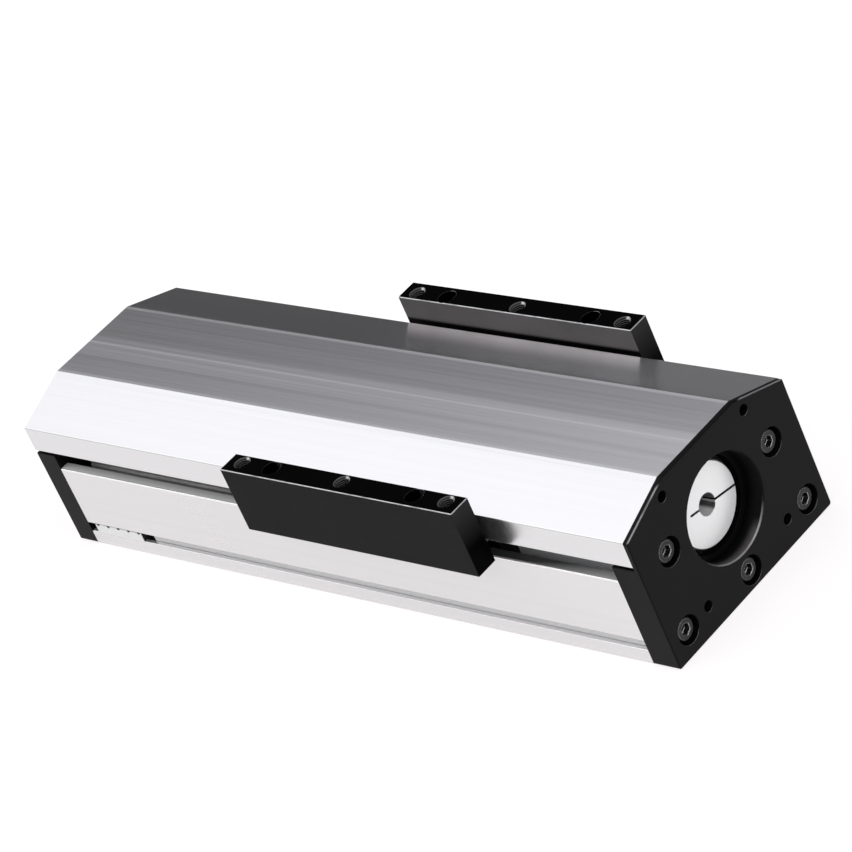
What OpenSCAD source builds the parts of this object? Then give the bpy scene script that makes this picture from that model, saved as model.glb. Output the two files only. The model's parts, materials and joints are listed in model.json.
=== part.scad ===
// Covered ball screw module: an aluminium base and cover, with two carriage arms outside.
// Millimetres. Origin at the centre of the mounting face, +X to the motor end, +Z up.
// The carriage is drawn near the motor end of its travel, where its joint stands at zero.

/* [Body] */
// overall length between the outer end faces
overall_len = 306; // [290:1:600]
// width across the base and the cover
body_w = 90.2; // [88:0.2:100]
// height of the base's side walls over the mounting face
base_wall_h = 36.4; // [36:0.1:38]
// thickness of the base's side walls
base_wall_t = 4; // [3:0.1:4.4]
// height of the open slot between the side walls and the cover
side_gap = 7.4; // [7.2:0.1:9]
// height of the cover's vertical lips
lip_h = 10.6; // [9:0.1:14]
// width of the cover's flat roof
roof_w = 41.2; // [38:0.1:46]
// rise of each sloping side of the cover
slope_rise = 8.85; // [8.5:0.05:12]
// wall thickness of the cover
cover_t = 2; // [1.6:0.1:2.2]

/* [End blocks] */
// thickness of the end block at the motor end
motor_block_t = 12; // [10:0.5:16]
// thickness of the plate rim that covers the end of the cover
rim_t = 2; // [1.5:0.1:3]
// thickness of the end block at the idle end
idle_block_t = 10; // [9.8:0.1:14]
// height of the end blocks' shoulders below the cover's lips
block_shoulder_z = 42.6; // [40:0.1:43]
// distance of the end blocks' feet from the mounting face
block_foot = 0.1; // [0.1:0.1:1]
// spacing of the four motor screws, both ways
motor_pitch = 47.14; // [44:0.01:47.5]
// diameter of the bore that centres the motor
pilot_d = 38.6; // [38.1:0.1:40]
// depth of the bore that centres the motor
pilot_depth = 8; // [4:0.5:8.5]
// drill diameter of the motor's tapped holes
motor_tap_d = 4.2; // [3.3:0.1:4.3]
// distance of the lower outer end screws from the base's sides
foot_screw_inset = 9.7; // [9.2:0.1:11]
// height of the lower outer end screws
foot_screw_z = 9.75; // [9.4:0.05:10.2]
// height of the lower middle end screw
mid_screw_z = 6.95; // [6.7:0.05:7.2]
// distance of the upper end screws from the base's sides
top_screw_inset = 15.35; // [14.5:0.05:16]
// height of the upper end screws
top_screw_z = 39; // [37:0.1:40]
// diameter of the end screws
end_screw_d = 5; // [4:0.5:5]
// length of the end screws below their heads
end_screw_len = 20; // [16:1:25]

/* [Base profile] */
// mouth height of the side slots
slot_mouth = 4; // [3.4:0.1:4]
// height of the middle of the side slots
slot_z = 8.2; // [7.8:0.1:8.6]
// depth of the side slots
slot_depth = 5; // [4:0.1:5.4]
// width of the trough that holds the screw and its nut
trough_w = 37; // [36.6:0.1:38]
// drill diameter of the tapped holes in the mounting face
foot_tap_d = 5; // [4.2:0.1:5.2]
// depth of the tapped holes in the mounting face
foot_tap_depth = 12; // [8:0.5:12]
// spacing of the tapped holes in the mounting face, along the module
foot_pitch_x = 100; // [60:1:110]
// distance of the tapped holes in the mounting face from the base's sides
foot_inset = 17.1; // [16.6:0.1:19]

/* [Carriage] */
// length of the saddle inside the cover
saddle_len = 94; // [92:1:100]
// thickness of the saddle plate
saddle_t = 6.2; // [5.6:0.1:6.4]
// clearance between the saddle and the base's side walls
saddle_clear = 0.6; // [0.4:0.1:0.8]
// length of the saddle's side tongues
tongue_len = 86; // [80:1:88]
// length of the carriage arms
arm_len = 114.6; // [112:0.2:120]
// thickness of the carriage arms
arm_t = 9.25; // [9:0.05:11]
// height of the carriage arms
arm_h = 27.56; // [26:0.01:34]
// gap between the cover and the carriage arms
arm_gap = 1.95; // [1:0.05:4]
// how far the arms hang below the saddle
arm_skirt = 0.24; // [0.1:0.02:1]
// spacing of the outer load holes along an arm
load_pitch = 101; // [96:0.5:103]
// drill diameter of the load holes
load_tap_d = 5; // [4.2:0.1:5.2]
// depth of the load holes
load_tap_depth = 14; // [8:0.5:18]
// spacing of the two arm screws
arm_screw_pitch = 70.7; // [60:0.1:76]
// distance of the arms' hole rows from their inner faces
arm_hole_inset = 3.85; // [3.65:0.05:4.2]
// travel left toward the motor end
travel_to_motor = 5; // [1:0.5:20]
// length of the rubber stops at the motor end
motor_stop_len = 5; // [3:0.5:8]
// length of the rubber stops at the idle end
idle_stop_len = 9; // [6:0.5:20]

/* [Guides] */
// width of the guide rails
rail_w = 9; // [8:0.1:10]
// height of the guide rails
rail_h = 6.5; // [6:0.1:6.8]
// spacing of the holes along a rail
rail_pitch = 20; // [15:1:30]
// height of a rail with its block
guide_h = 10; // [9.8:0.1:10.4]
// gap between a guide block and the base's side wall
block_wall_gap = 1.6; // [1.2:0.1:2.4]
// gap between a guide block and the edge of the trough
block_trough_gap = 1; // [0.6:0.1:1.6]
// length of a guide block
block_len = 39.9; // [30:0.1:42]
// distance between the middles of the two blocks on one rail
block_spacing = 51; // [48:0.5:52]

/* [Screw drive] */
// height of the screw's axis over the mounting face
axis_z = 33.9; // [33.5:0.1:34.4]
// outside diameter of the ball screw
screw_d = 12; // [11:0.5:12]
// diameter of the bearing journal at the motor end
journal_d = 10; // [9:0.1:10]
// diameter of the screw's two thin ends
stub_d = 8; // [6:0.5:8]
// outside diameter of the ball nut
nut_d = 24; // [22:0.5:25]
// length of the ball nut
nut_len = 40; // [32:1:50]
// diameter of the nut's flange
nut_flange_d = 38; // [36:0.5:38]
// thickness of the nut's flange
nut_flange_t = 8; // [6:0.5:10]
// outside diameter of the fixed bearings
bearing_d = 26; // [26:0.5:28]
// width of one fixed bearing
bearing_w = 8; // [8:0.1:9]
// outside diameter of the idle bearing
idle_bearing_d = 22; // [20:0.5:24]
// width of the idle bearing
idle_bearing_w = 7; // [6:0.1:7]
// outside diameter of the coupling
coupling_d = 31; // [26:0.5:31]
// length of one coupling hub
hub_len = 13; // [11:0.5:14]
// length of the coupling's elastic star
star_len = 5; // [4:0.5:6]
// depth of the coupling behind the motor face
coupling_depth = 8.3; // [8:0.1:10]
// width of the clamping slits in the coupling hubs
slit_w = 0.9; // [0.6:0.1:1.2]
// angle of the motor hub's slit about the axis, from level
slit_angle = -11; // [-180:1:180]

/* [Side slots] */
// length of the sensor in the side slot
sensor_len = 26; // [20:0.5:36]
// distance of the sensor from the idle end block
sensor_from_end = 4; // [2:0.5:40]
// distance from the sensor to the strip that covers the rest of its slot
slot_cover_gap = 4.8; // [1:0.1:10]

/* [Clearances] */
// radial clearance of seated round pieces, such as bearings and hubs
seat_gap = 0.02; // [0.01:0.01:0.05]
// radial clearance between a screw and its tapped hole
thread_gap = 0.05; // [0.02:0.01:0.1]
// clearance between pieces that slide together when the module is built
fit_gap = 0.1; // [0.05:0.05:0.2]
// clearance between the guide blocks and their rails
guide_gap = 0.3; // [0.2:0.05:0.4]
// radial clearance between the ball nut and the screw's thread
nut_gap = 0.3; // [0.2:0.05:0.5]

/* [Hidden] */
$fn = 64;

// how far a cutting shape reaches past the surface it cuts
over = 1;
// segments of one rounded corner in a profile
corner_steps = 6;

// heights
lip_z = base_wall_h + side_gap;
shoulder_z = lip_z + lip_h;
top_z = shoulder_z + slope_rise;
saddle_z = base_wall_h + saddle_clear;
saddle_top = saddle_z + saddle_t;
seat_z = saddle_z - guide_h;
nut_floor_gap = 1.9;
trough_floor = axis_z - nut_flange_d / 2 - nut_floor_gap;
arm_bottom = saddle_z - arm_skirt;
arm_top = arm_bottom + arm_h;

// places across the module
slope_run = (body_w - roof_w) / 2;
foot_screw_pitch = body_w - 2 * foot_screw_inset;
top_screw_pitch = body_w - 2 * top_screw_inset;
foot_pitch_y = body_w - 2 * foot_inset;
arm_hole_row = body_w + 2 * (arm_gap + arm_hole_inset);
block_w = (body_w - trough_w) / 2 - base_wall_t - block_wall_gap - block_trough_gap;
rail_spacing = trough_w + 2 * block_trough_gap + block_w;

// places along the module
x_motor_face = overall_len / 2;
x_idle_face = -overall_len / 2;
x_block_rear = x_motor_face - motor_block_t;
x_idle_inner = x_idle_face + idle_block_t;
x_coupling_face = x_motor_face - coupling_depth;
x_star = x_coupling_face - hub_len;
x_screw_hub_front = x_star - star_len;
x_screw_hub_rear = x_screw_hub_front - hub_len;
lock_nut_t = 6;
lock_nut_gap = 2.1;
x_bearing_front = x_screw_hub_rear - lock_nut_gap - lock_nut_t;
x_bearing_rear = x_bearing_front - 2 * bearing_w;
housing_lip_t = 2;
x_housing_rear = x_bearing_rear - housing_lip_t;
stop_gap = 1;
x_saddle = x_housing_rear - motor_stop_len - stop_gap - travel_to_motor - saddle_len / 2;

// screw sizes: [shank diameter, head diameter, head height, key width]
m5 = [end_screw_d, end_screw_d * 1.7, end_screw_d, end_screw_d * 0.8];
m4 = [4, 7, 4, 3];
m3 = [3, 5.5, 3, 2.5];
// share of a head's height taken by its key socket
socket_share = 0.5;
// chamfer of a screw head as a share of its diameter
head_edge_share = 0.06;
// room around a small screw's head in its counterbore, across
head_room = 0.8;
// radial room around an end screw's head in its counterbore
end_head_room = 1.15;
// radial room around a screw shank in a plain hole
shank_room = 0.25;
// depth of the end screws' heads below the end face
head_recess = 1.3;
// depth of the end screws' tips below the end face
end_screw_tip = head_recess + m5[2] + end_screw_len;
// how far a tapped hole runs on past its screw
tap_run_out = 1.5;

half_turn = 180;

// one corner of a profile, rounded by an arc of radius r
function corner(a, b, c, r) =
  r == 0 ? [b] :
  let (
    u = (a - b) / norm(a - b),
    v = (c - b) / norm(c - b),
    half = acos(u * v) / 2,
    centre = b + (u + v) / norm(u + v) * r / sin(half),
    s = b + u * r / tan(half) - centre,
    e = b + v * r / tan(half) - centre,
    from = atan2(s[1], s[0]),
    turn = (atan2(e[1], e[0]) - from + 3 * half_turn) % (2 * half_turn) - half_turn
  )
  [for (i = [0 : corner_steps]) centre + r * [cos(from + turn * i / corner_steps), sin(from + turn * i / corner_steps)]];

// a closed profile with its own radius at each corner
function rounded(points, radii) =
  let (n = len(points))
  [for (i = [0 : n - 1]) each corner(points[(i + n - 1) % n], points[i], points[(i + 1) % n], radii[i])];

// a rectangle from its lower left corner, with all corners rounded
function rounded_box(x, y, w, h, r) =
  rounded([[x, y], [x + w, y], [x + w, y + h], [x, y + h]], [r, r, r, r]);

// extrudes a cross-section, drawn as across and up, along the module
module along(x0, x1) {
  translate([x0, 0, 0])
    rotate([90, 0, 90])
      linear_extrude(x1 - x0)
        children();
}

// a round bar along the module
module bar(d, x0, x1, y = 0, z = axis_z) {
  translate([x0, y, z])
    rotate([0, 90, 0])
      cylinder(d = d, h = x1 - x0);
}

// turns a profile of [radius, place along the module] points about the screw's axis
module turned(points) {
  translate([0, 0, axis_z])
    rotate([0, 90, 0])
      rotate_extrude()
        polygon(points);
}

// both sides of the module's middle plane
module both_sides() {
  children();
  mirror([0, 1, 0])
    children();
}

// a socket head screw along -Z with its head's seat at the origin
module socket_screw(size, length) {
  edge = size[1] * head_edge_share;
  difference() {
    union() {
      cylinder(d = size[1], h = size[2] - edge);
      translate([0, 0, size[2] - edge])
        cylinder(d1 = size[1], d2 = size[1] - 2 * edge, h = edge);
      translate([0, 0, -length])
        cylinder(d = size[0], h = length + over / 2);
    }
    translate([0, 0, size[2] * (1 - socket_share)])
      cylinder(d = size[3] / cos(30), h = size[2], $fn = 6);
  }
}

// the hole for such a screw: counterbore, plain hole and the tapped hole below it
module screw_counterbore(size, depth) {
  cylinder(d = size[1] + 2 * end_head_room, h = depth);
}

module screw_clearance(size, length) {
  translate([0, 0, -length])
    cylinder(d = size[0] + 2 * shank_room, h = length + over / 2);
}

module screw_thread_hole(size, length) {
  translate([0, 0, -length])
    cylinder(d = size[0] + 2 * thread_gap, h = length);
}

// places of the end screws, as [across, up]
foot_screws = [
  [-foot_screw_pitch / 2, foot_screw_z],
  [0, mid_screw_z],
  [foot_screw_pitch / 2, foot_screw_z]
];
top_screws = [[-top_screw_pitch / 2, top_screw_z], [top_screw_pitch / 2, top_screw_z]];

// puts a screw that points at -Z on an end face, pointing into the module
module at_motor_face(place, depth) {
  translate([x_motor_face - depth, place[0], place[1]])
    rotate([0, 90, 0])
      children();
}

module at_idle_face(place, depth) {
  translate([x_idle_face + depth, place[0], place[1]])
    rotate([0, -90, 0])
      children();
}

// outline of the whole module seen from an end; inset shrinks it from the cover's outer face
function slope_drop(inset) = inset * norm([slope_run, slope_rise]) / slope_run;
function slope_at(y, inset) =
  shoulder_z + (body_w / 2 - y) * slope_rise / slope_run - slope_drop(inset);
function crest_y(inset) =
  body_w / 2 - (top_z - inset - shoulder_z + slope_drop(inset)) * slope_run / slope_rise;

// the cover's inner or outer shape above height z, shrunk by the inset
function cover_outline(z, inset, bottom_r, shoulder_r) =
  let (y = body_w / 2 - inset, s = slope_at(y, inset), c = crest_y(inset))
  rounded(
    [[-y, z], [y, z], [y, s], [c, top_z - inset], [-c, top_z - inset], [-y, s]],
    [bottom_r, bottom_r, shoulder_r, shoulder_r, shoulder_r, shoulder_r]
  );

// ---- base ----

base_edge_r = 0.8;
slot_lip_t = 1.8;
slot_cavity_h = 6.4;
slot_chamfer = 0.3;
port_d = 4.2;
trough_r = 1.5;
seat_relief = 0.6;
relief_w = 24;
floor_t = 3;
rib_half_w = 4.4;
chamber_r = 0.8;

// one side slot, open to -across
module side_slot_profile() {
  edge = -body_w / 2;
  polygon([
    [edge - over, slot_z - slot_mouth / 2 - slot_chamfer - over],
    [edge + slot_chamfer, slot_z - slot_mouth / 2],
    [edge + slot_lip_t, slot_z - slot_mouth / 2],
    [edge + slot_lip_t, slot_z - slot_cavity_h / 2],
    [edge + slot_depth, slot_z - slot_cavity_h / 2],
    [edge + slot_depth, slot_z + slot_cavity_h / 2],
    [edge + slot_lip_t, slot_z + slot_cavity_h / 2],
    [edge + slot_lip_t, slot_z + slot_mouth / 2],
    [edge + slot_chamfer, slot_z + slot_mouth / 2],
    [edge - over, slot_z + slot_mouth / 2 + slot_chamfer + over]
  ]);
}

// the light chambers of one side of the base, at -across
module chamber_profile() {
  rib = rail_spacing / 2;
  low_top = trough_floor - floor_t;
  outer = body_w / 2 - slot_depth - floor_t / 2;
  high_floor = foot_screw_z + port_d;
  high_h = seat_z - floor_t - high_floor;
  low_left = foot_pitch_y / 2 - foot_tap_d;
  polygon(rounded_box(-low_left, floor_t, low_left - port_d * 1.4, low_top - floor_t, chamber_r));
  polygon(rounded_box(-outer, high_floor, outer - rib - rib_half_w, high_h, chamber_r));
  inner_w = rib - rib_half_w - trough_w / 2 - floor_t / 2;
  polygon(rounded_box(-rib + rib_half_w, high_floor, inner_w, high_h, chamber_r));
}

module base_section() {
  channel_w = body_w - 2 * base_wall_t;
  difference() {
    polygon(rounded(
      [[-body_w / 2, 0], [body_w / 2, 0], [body_w / 2, base_wall_h], [-body_w / 2, base_wall_h]],
      [base_edge_r, base_edge_r, base_edge_r / 2, base_edge_r / 2]
    ));
    translate([-channel_w / 2, seat_z])
      square([channel_w, base_wall_h]);
    polygon(rounded(
      [[-trough_w / 2, trough_floor], [trough_w / 2, trough_floor],
       [trough_w / 2, seat_z + over], [-trough_w / 2, seat_z + over]],
      [trough_r, trough_r, 0, 0]
    ));
    translate([-relief_w / 2, -over])
      square([relief_w, seat_relief + over]);
    for (side = [0, 1])
      mirror([side, 0]) {
        side_slot_profile();
        chamber_profile();
      }
    for (place = foot_screws)
      translate(place)
        circle(d = port_d);
  }
}

rail_end_gap = 2.6;
rail_x0 = x_idle_inner + rail_end_gap;
rail_x1 = x_housing_rear - rail_end_gap;
rail_count = floor((rail_x1 - rail_x0 - rail_pitch / 2) / rail_pitch) + 1;
rail_first = (rail_x0 + rail_x1 - (rail_count - 1) * rail_pitch) / 2;
rail_hole_depth = 8.5;
foot_columns = 1;
housing_screw_inset = 9.5;
housing_foot_t = 10;
housing_screw_x = x_housing_rear + housing_screw_inset;
housing_screw_len = 20;
housing_screw_seat = seat_z + housing_foot_t;

module base_profile() {
  color("silver")
    difference() {
      along(x_idle_inner, x_block_rear)
        base_section();
      // threads for the end screws
      for (place = foot_screws) {
        bar(m5[0] + 2 * thread_gap, x_motor_face - end_screw_tip - tap_run_out, x_block_rear + over,
            place[0], place[1]);
        bar(m5[0] + 2 * thread_gap, x_idle_inner - over, x_idle_face + end_screw_tip + tap_run_out,
            place[0], place[1]);
      }
      // tapped holes in the mounting face
      both_sides()
        for (i = [-foot_columns : foot_columns])
          translate([i * foot_pitch_x, foot_pitch_y / 2, -over])
            cylinder(d = foot_tap_d, h = foot_tap_depth + over);
      // threads for the rails and the bearing housing
      both_sides() {
        for (i = [0 : rail_count - 1])
          translate([rail_first + i * rail_pitch, rail_spacing / 2, seat_z - rail_hole_depth])
            cylinder(d = m3[0] + 2 * thread_gap, h = rail_hole_depth + over);
        translate([housing_screw_x, rail_spacing / 2, housing_screw_seat])
          screw_thread_hole(m4, housing_screw_len + over / 2);
      }
    }
}

// ---- cover ----

hook_y = 12;
hook_web = 1.6;
hook_h = 4.2;
hook_foot = 4.4;
lip_bead = 0.8;
bead_lift = 0.4;

// one hook rib under the roof, grown by g for the groove that holds it
module hook_profile(g) {
  roof = top_z - cover_t;
  translate([hook_y - hook_web / 2 - g, roof - hook_h])
    square([hook_web + 2 * g, hook_h + over]);
  translate([hook_y - hook_foot / 2 - g, roof - hook_h - g])
    square([hook_foot + 2 * g, hook_web + 2 * g]);
}

module top_cover() {
  color("gainsboro")
    along(x_idle_face, x_motor_face - rim_t) {
      difference() {
        polygon(cover_outline(lip_z, 0, 0.3, 0.5));
        polygon(cover_outline(lip_z - over, cover_t, 0, 0.5));
      }
      intersection() {
        for (side = [0, 1])
          mirror([side, 0])
            hook_profile(0);
        polygon(cover_outline(lip_z, cover_t / 2, 0, 0.5));
      }
      // beads that stiffen the lower edges of the lips
      for (side = [0, 1])
        mirror([side, 0])
          translate([body_w / 2 - cover_t - lip_bead, lip_z + bead_lift])
            square([cover_t, hook_web]);
    }
}

// ---- end blocks ----

foot_r = 1;
shoulder_r = 1.2;
rim_chamfer = 0.4;

// the part of an end block inside the cover
module block_core_profile() {
  difference() {
    polygon(cover_outline(block_foot, cover_t + fit_gap, foot_r, 0.5));
    for (side = [0, 1])
      mirror([side, 0]) {
        hook_profile(fit_gap);
        translate([body_w / 2 - cover_t - lip_bead - fit_gap, lip_z + bead_lift - fit_gap])
          square([cover_t, hook_web + 2 * fit_gap]);
      }
  }
}

// the part of an end block between the base and the shoulders, at full width
module block_foot_profile() {
  polygon(rounded(
    [[-body_w / 2, block_foot], [body_w / 2, block_foot],
     [body_w / 2, block_shoulder_z], [-body_w / 2, block_shoulder_z]],
    [foot_r, foot_r, 0.3, 0.3]
  ));
}

// the plate rim, with a chamfer around its outer face
module rim() {
  middle = (block_foot + top_z) / 2;
  outline = [for (p = cover_outline(block_foot, 0, foot_r, shoulder_r)) p - [0, middle]];
  translate([x_motor_face - rim_t, 0, middle])
    rotate([90, 0, 90])
      linear_extrude(rim_t - rim_chamfer)
        polygon(outline);
  translate([x_motor_face - rim_chamfer, 0, middle])
    rotate([90, 0, 90])
      linear_extrude(rim_chamfer, scale = [1 - 2 * rim_chamfer / body_w, 1 - 2 * rim_chamfer / (top_z - block_foot)])
        polygon(outline);
}

pilot_chamfer = 0.5;
chamber_gap = 2;
chamber_d = coupling_d + 2 * chamber_gap;
bumper_d = 10;
bumper_y = 25;
bumper_z = saddle_z + saddle_t / 2;
bumper_pin_d = 4;
bumper_pin_len = 4;
// how far the stops' pins are rooted in their heads
bumper_root = 0.5;

module motor_end_block() {
  color("dimgray")
    difference() {
      union() {
        along(x_block_rear, x_motor_face - rim_t) {
          block_foot_profile();
          block_core_profile();
        }
        rim();
      }
      bar(pilot_d, x_motor_face - pilot_depth, x_motor_face + over);
      bar(chamber_d, x_block_rear - over, x_motor_face);
      turned([
        [pilot_d / 2 - over, x_motor_face + over],
        [pilot_d / 2 - over, x_motor_face - pilot_chamfer - over],
        [pilot_d / 2, x_motor_face - pilot_chamfer],
        [pilot_d / 2 + pilot_chamfer + over, x_motor_face + over]
      ]);
      for (y = [-motor_pitch / 2, motor_pitch / 2])
        for (z = [-motor_pitch / 2, motor_pitch / 2])
          bar(motor_tap_d, x_block_rear - over, x_motor_face + over, y, axis_z + z);
      for (place = concat(foot_screws, top_screws))
        at_motor_face(place, head_recess + m5[2]) {
          screw_counterbore(m5, m5[2] + head_recess + over);
          screw_clearance(m5, motor_block_t + over);
        }
    }
}

idle_seat_depth = idle_bearing_w;
idle_recess_d = 13;
idle_recess_t = 1.6;

module idle_end_block() {
  color("dimgray")
    difference() {
      along(x_idle_face, x_idle_inner) {
        block_foot_profile();
        block_core_profile();
      }
      bar(idle_bearing_d + 2 * seat_gap, x_idle_inner - idle_seat_depth, x_idle_inner + over);
      bar(idle_recess_d, x_idle_inner - idle_seat_depth - idle_recess_t, x_idle_inner);
      for (place = foot_screws)
        at_idle_face(place, head_recess + m5[2]) {
          screw_counterbore(m5, m5[2] + head_recess + over);
          screw_clearance(m5, idle_block_t + over);
        }
      both_sides()
        bar(bumper_pin_d + 2 * seat_gap, x_idle_inner - bumper_pin_len - over / 2, x_idle_inner + over,
            bumper_y, bumper_z);
    }
}

module motor_end_screws() {
  color("black")
    for (place = concat(foot_screws, top_screws))
      at_motor_face(place, head_recess + m5[2])
        socket_screw(m5, end_screw_len);
}

module idle_end_screws() {
  color("black")
    for (place = foot_screws)
      at_idle_face(place, head_recess + m5[2])
        socket_screw(m5, end_screw_len);
}

// ---- guides ----

rail_groove = 1;
rail_head_d = 6;
rail_head_depth = 3.5;
rail_edge = 0.4;
// share of the groove's depth that is cut into the rail
groove_share = 0.7;
block_foot_gap = 2;
block_cap_len = 4;
block_cap_step = 0.3;
block_hole_x = 16;
block_hole_y = block_w * 0.75;
block_tap_depth = 3;
screw_tip_gap = 0.4;

// rail profile with a ball groove in each flank
module rail_profile() {
  mid = rail_h * 0.6;
  cut = rail_groove * groove_share;
  flat = rail_groove - cut;
  polygon([
    [-rail_w / 2, 0], [rail_w / 2, 0], [rail_w / 2, mid - rail_groove],
    [rail_w / 2 - cut, mid - flat], [rail_w / 2 - cut, mid + flat],
    [rail_w / 2, mid + rail_groove], [rail_w / 2, rail_h - rail_edge],
    [rail_w / 2 - rail_edge, rail_h], [-rail_w / 2 + rail_edge, rail_h],
    [-rail_w / 2, rail_h - rail_edge], [-rail_w / 2, mid + rail_groove],
    [-rail_w / 2 + cut, mid + flat], [-rail_w / 2 + cut, mid - flat],
    [-rail_w / 2, mid - rail_groove]
  ]);
}

module guide_rail(side) {
  difference() {
    along(rail_x0, rail_x1)
      translate([side * rail_spacing / 2, seat_z])
        rail_profile();
    for (i = [0 : rail_count - 1])
      translate([rail_first + i * rail_pitch, side * rail_spacing / 2, seat_z]) {
        translate([0, 0, -over])
          cylinder(d = m3[0] + 2 * shank_room, h = rail_h + 2 * over);
        translate([0, 0, rail_h - rail_head_depth])
          cylinder(d = rail_head_d, h = rail_head_depth + over);
      }
  }
}

module near_guide_rail() {
  color("lightsteelblue")
    guide_rail(-1);
}

module far_guide_rail() {
  color("lightsteelblue")
    guide_rail(1);
}

module rail_screws() {
  color("black")
    both_sides()
      for (i = [0 : rail_count - 1])
        translate([rail_first + i * rail_pitch, rail_spacing / 2, seat_z + rail_h - rail_head_depth])
          socket_screw(m3, rail_h - rail_head_depth + rail_hole_depth - over);
}

// places of the four screws of one guide block, from its middle
block_holes = [for (x = [-1, 1]) for (y = [-1, 1]) [x * block_hole_x / 2, y * block_hole_y / 2]];

module guide_block(side, end) {
  x = x_saddle + end * block_spacing / 2;
  y = side * rail_spacing / 2;
  low = seat_z + block_foot_gap;
  high = saddle_z;
  difference() {
    union() {
      along(x - block_len / 2 + block_cap_len, x + block_len / 2 - block_cap_len)
        polygon(rounded_box(y - block_w / 2, low, block_w, high - low, 0.6));
      // end caps, a little smaller than the steel body
      along(x - block_len / 2, x + block_len / 2)
        polygon(rounded_box(y - block_w / 2 + block_cap_step, low + block_cap_step,
                            block_w - 2 * block_cap_step, high - low - 2 * block_cap_step, 1.2));
    }
    along(x - block_len, x + block_len)
      translate([y - rail_w / 2 - guide_gap, seat_z - over])
        square([rail_w + 2 * guide_gap, rail_h + guide_gap + over]);
    for (hole = block_holes)
      translate([x + hole[0], y + hole[1], high - block_tap_depth])
        cylinder(d = m3[0] + 2 * thread_gap, h = block_tap_depth + over);
  }
}

module near_motor_guide_block() {
  color("seagreen")
    guide_block(-1, 1);
}

module near_idle_guide_block() {
  color("seagreen")
    guide_block(-1, -1);
}

module far_motor_guide_block() {
  color("seagreen")
    guide_block(1, 1);
}

module far_idle_guide_block() {
  color("seagreen")
    guide_block(1, -1);
}

// ---- carriage ----

bracket_len = 30;
bracket_wall = 4.1;
bracket_w = trough_w - 2;
nut_window = 14;
nut_tail_window = 8;
screw_slot_gap = 2;
nut_screw_pcd = 31;
nut_screw_len = 12;
flange_flat = trough_w - 4;
block_screw_head_z = saddle_top - m3[2];
tongue_past_holes = 3.4;
tongue_tip = arm_hole_row / 2 + tongue_past_holes;
arm_screw_grip = 7;
arm_screw_room = 0.15;
arm_edge = 0.4;
load_edge = 0.7;

// puts its children at each of the four nut screws, pointing at the nut's bracket
module at_nut_screws(x) {
  for (a = [45 : 90 : 315])
    translate([x, nut_screw_pcd / 2 * cos(a), axis_z + nut_screw_pcd / 2 * sin(a)])
      rotate([0, 90, 0])
        children();
}

module saddle() {
  x_face = x_saddle + bracket_len / 2;
  color("darkgray")
    difference() {
      union() {
        translate([x_saddle - saddle_len / 2, -body_w / 2 + base_wall_t + 1, saddle_z])
          cube([saddle_len, body_w - 2 * base_wall_t - 2, saddle_t]);
        translate([x_saddle, 0, saddle_z])
          linear_extrude(saddle_t)
            polygon(rounded_box(-tongue_len / 2, -tongue_tip, tongue_len, 2 * tongue_tip, 1));
        along(x_saddle - bracket_len / 2, x_face)
          polygon(rounded_box(-bracket_w / 2, axis_z - nut_d / 2 - bracket_wall, bracket_w,
                              nut_d + 2 * bracket_wall, 5));
      }
      bar(nut_d + 2 * seat_gap, x_saddle - bracket_len, x_saddle + bracket_len);
      // window for the nut's flange and the heads of its screws
      translate([x_face, -bracket_w / 2 - over, saddle_z - over])
        cube([nut_window, bracket_w + 2 * over, saddle_t + 2 * over]);
      // room for the nut's plain end
      translate([x_saddle - bracket_len / 2 - nut_tail_window, -nut_d / 2 - over, saddle_z - over])
        cube([nut_tail_window, nut_d + 2 * over, saddle_t + 2 * over]);
      // slots that let the screw pass between the two halves of the plate
      for (end = [-1, 1])
        translate([x_saddle + end * (bracket_len + saddle_len) / 4, 0, saddle_z - over])
          linear_extrude(saddle_t + 2 * over)
            square([(saddle_len - bracket_len) / 2 + over, screw_d + 2 * screw_slot_gap], center = true);
      at_nut_screws(x_face + nut_flange_t)
        screw_thread_hole(m4, nut_screw_len + over);
      both_sides() {
        for (end = [-1, 1])
          for (hole = block_holes)
            translate([x_saddle + end * block_spacing / 2 + hole[0], rail_spacing / 2 + hole[1], block_screw_head_z]) {
              cylinder(d = m3[1] + head_room, h = m3[2] + over);
              screw_clearance(m3, saddle_t);
            }
        for (end = [-1, 1])
          translate([x_saddle + end * arm_screw_pitch / 2, arm_hole_row / 2, saddle_top + over])
            screw_thread_hole(m4, saddle_t + 2 * over);
      }
    }
}

module ball_nut() {
  x_face = x_saddle + bracket_len / 2;
  bore = screw_d + 2 * nut_gap;
  color("steelblue")
    difference() {
      union() {
        turned([
          [0, x_face + nut_flange_t - nut_len],
          [nut_d / 2 - 1, x_face + nut_flange_t - nut_len],
          [nut_d / 2, x_face + nut_flange_t - nut_len + 1],
          [nut_d / 2, x_face + over / 2],
          [0, x_face + over / 2]
        ]);
        intersection() {
          turned([
            [0, x_face],
            [nut_flange_d / 2, x_face],
            [nut_flange_d / 2, x_face + nut_flange_t - 0.5],
            [nut_flange_d / 2 - 0.5, x_face + nut_flange_t],
            [0, x_face + nut_flange_t]
          ]);
          translate([x_face - over, -flange_flat / 2, axis_z - nut_flange_d])
            cube([nut_flange_t + 2 * over, flange_flat, 2 * nut_flange_d]);
        }
      }
      bar(bore, x_face - nut_len, x_face + nut_len);
      // seats of the two wipers
      bar(bore + 2, x_face + nut_flange_t - 3, x_face + nut_flange_t + over);
      bar(bore + 2, x_face + nut_flange_t - nut_len - over, x_face + nut_flange_t - nut_len + 3);
      at_nut_screws(x_face + nut_flange_t)
        screw_clearance(m4, nut_flange_t + over);
    }
}

module nut_screws() {
  color("black")
    at_nut_screws(x_saddle + bracket_len / 2 + nut_flange_t)
      socket_screw(m4, nut_screw_len);
}

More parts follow.
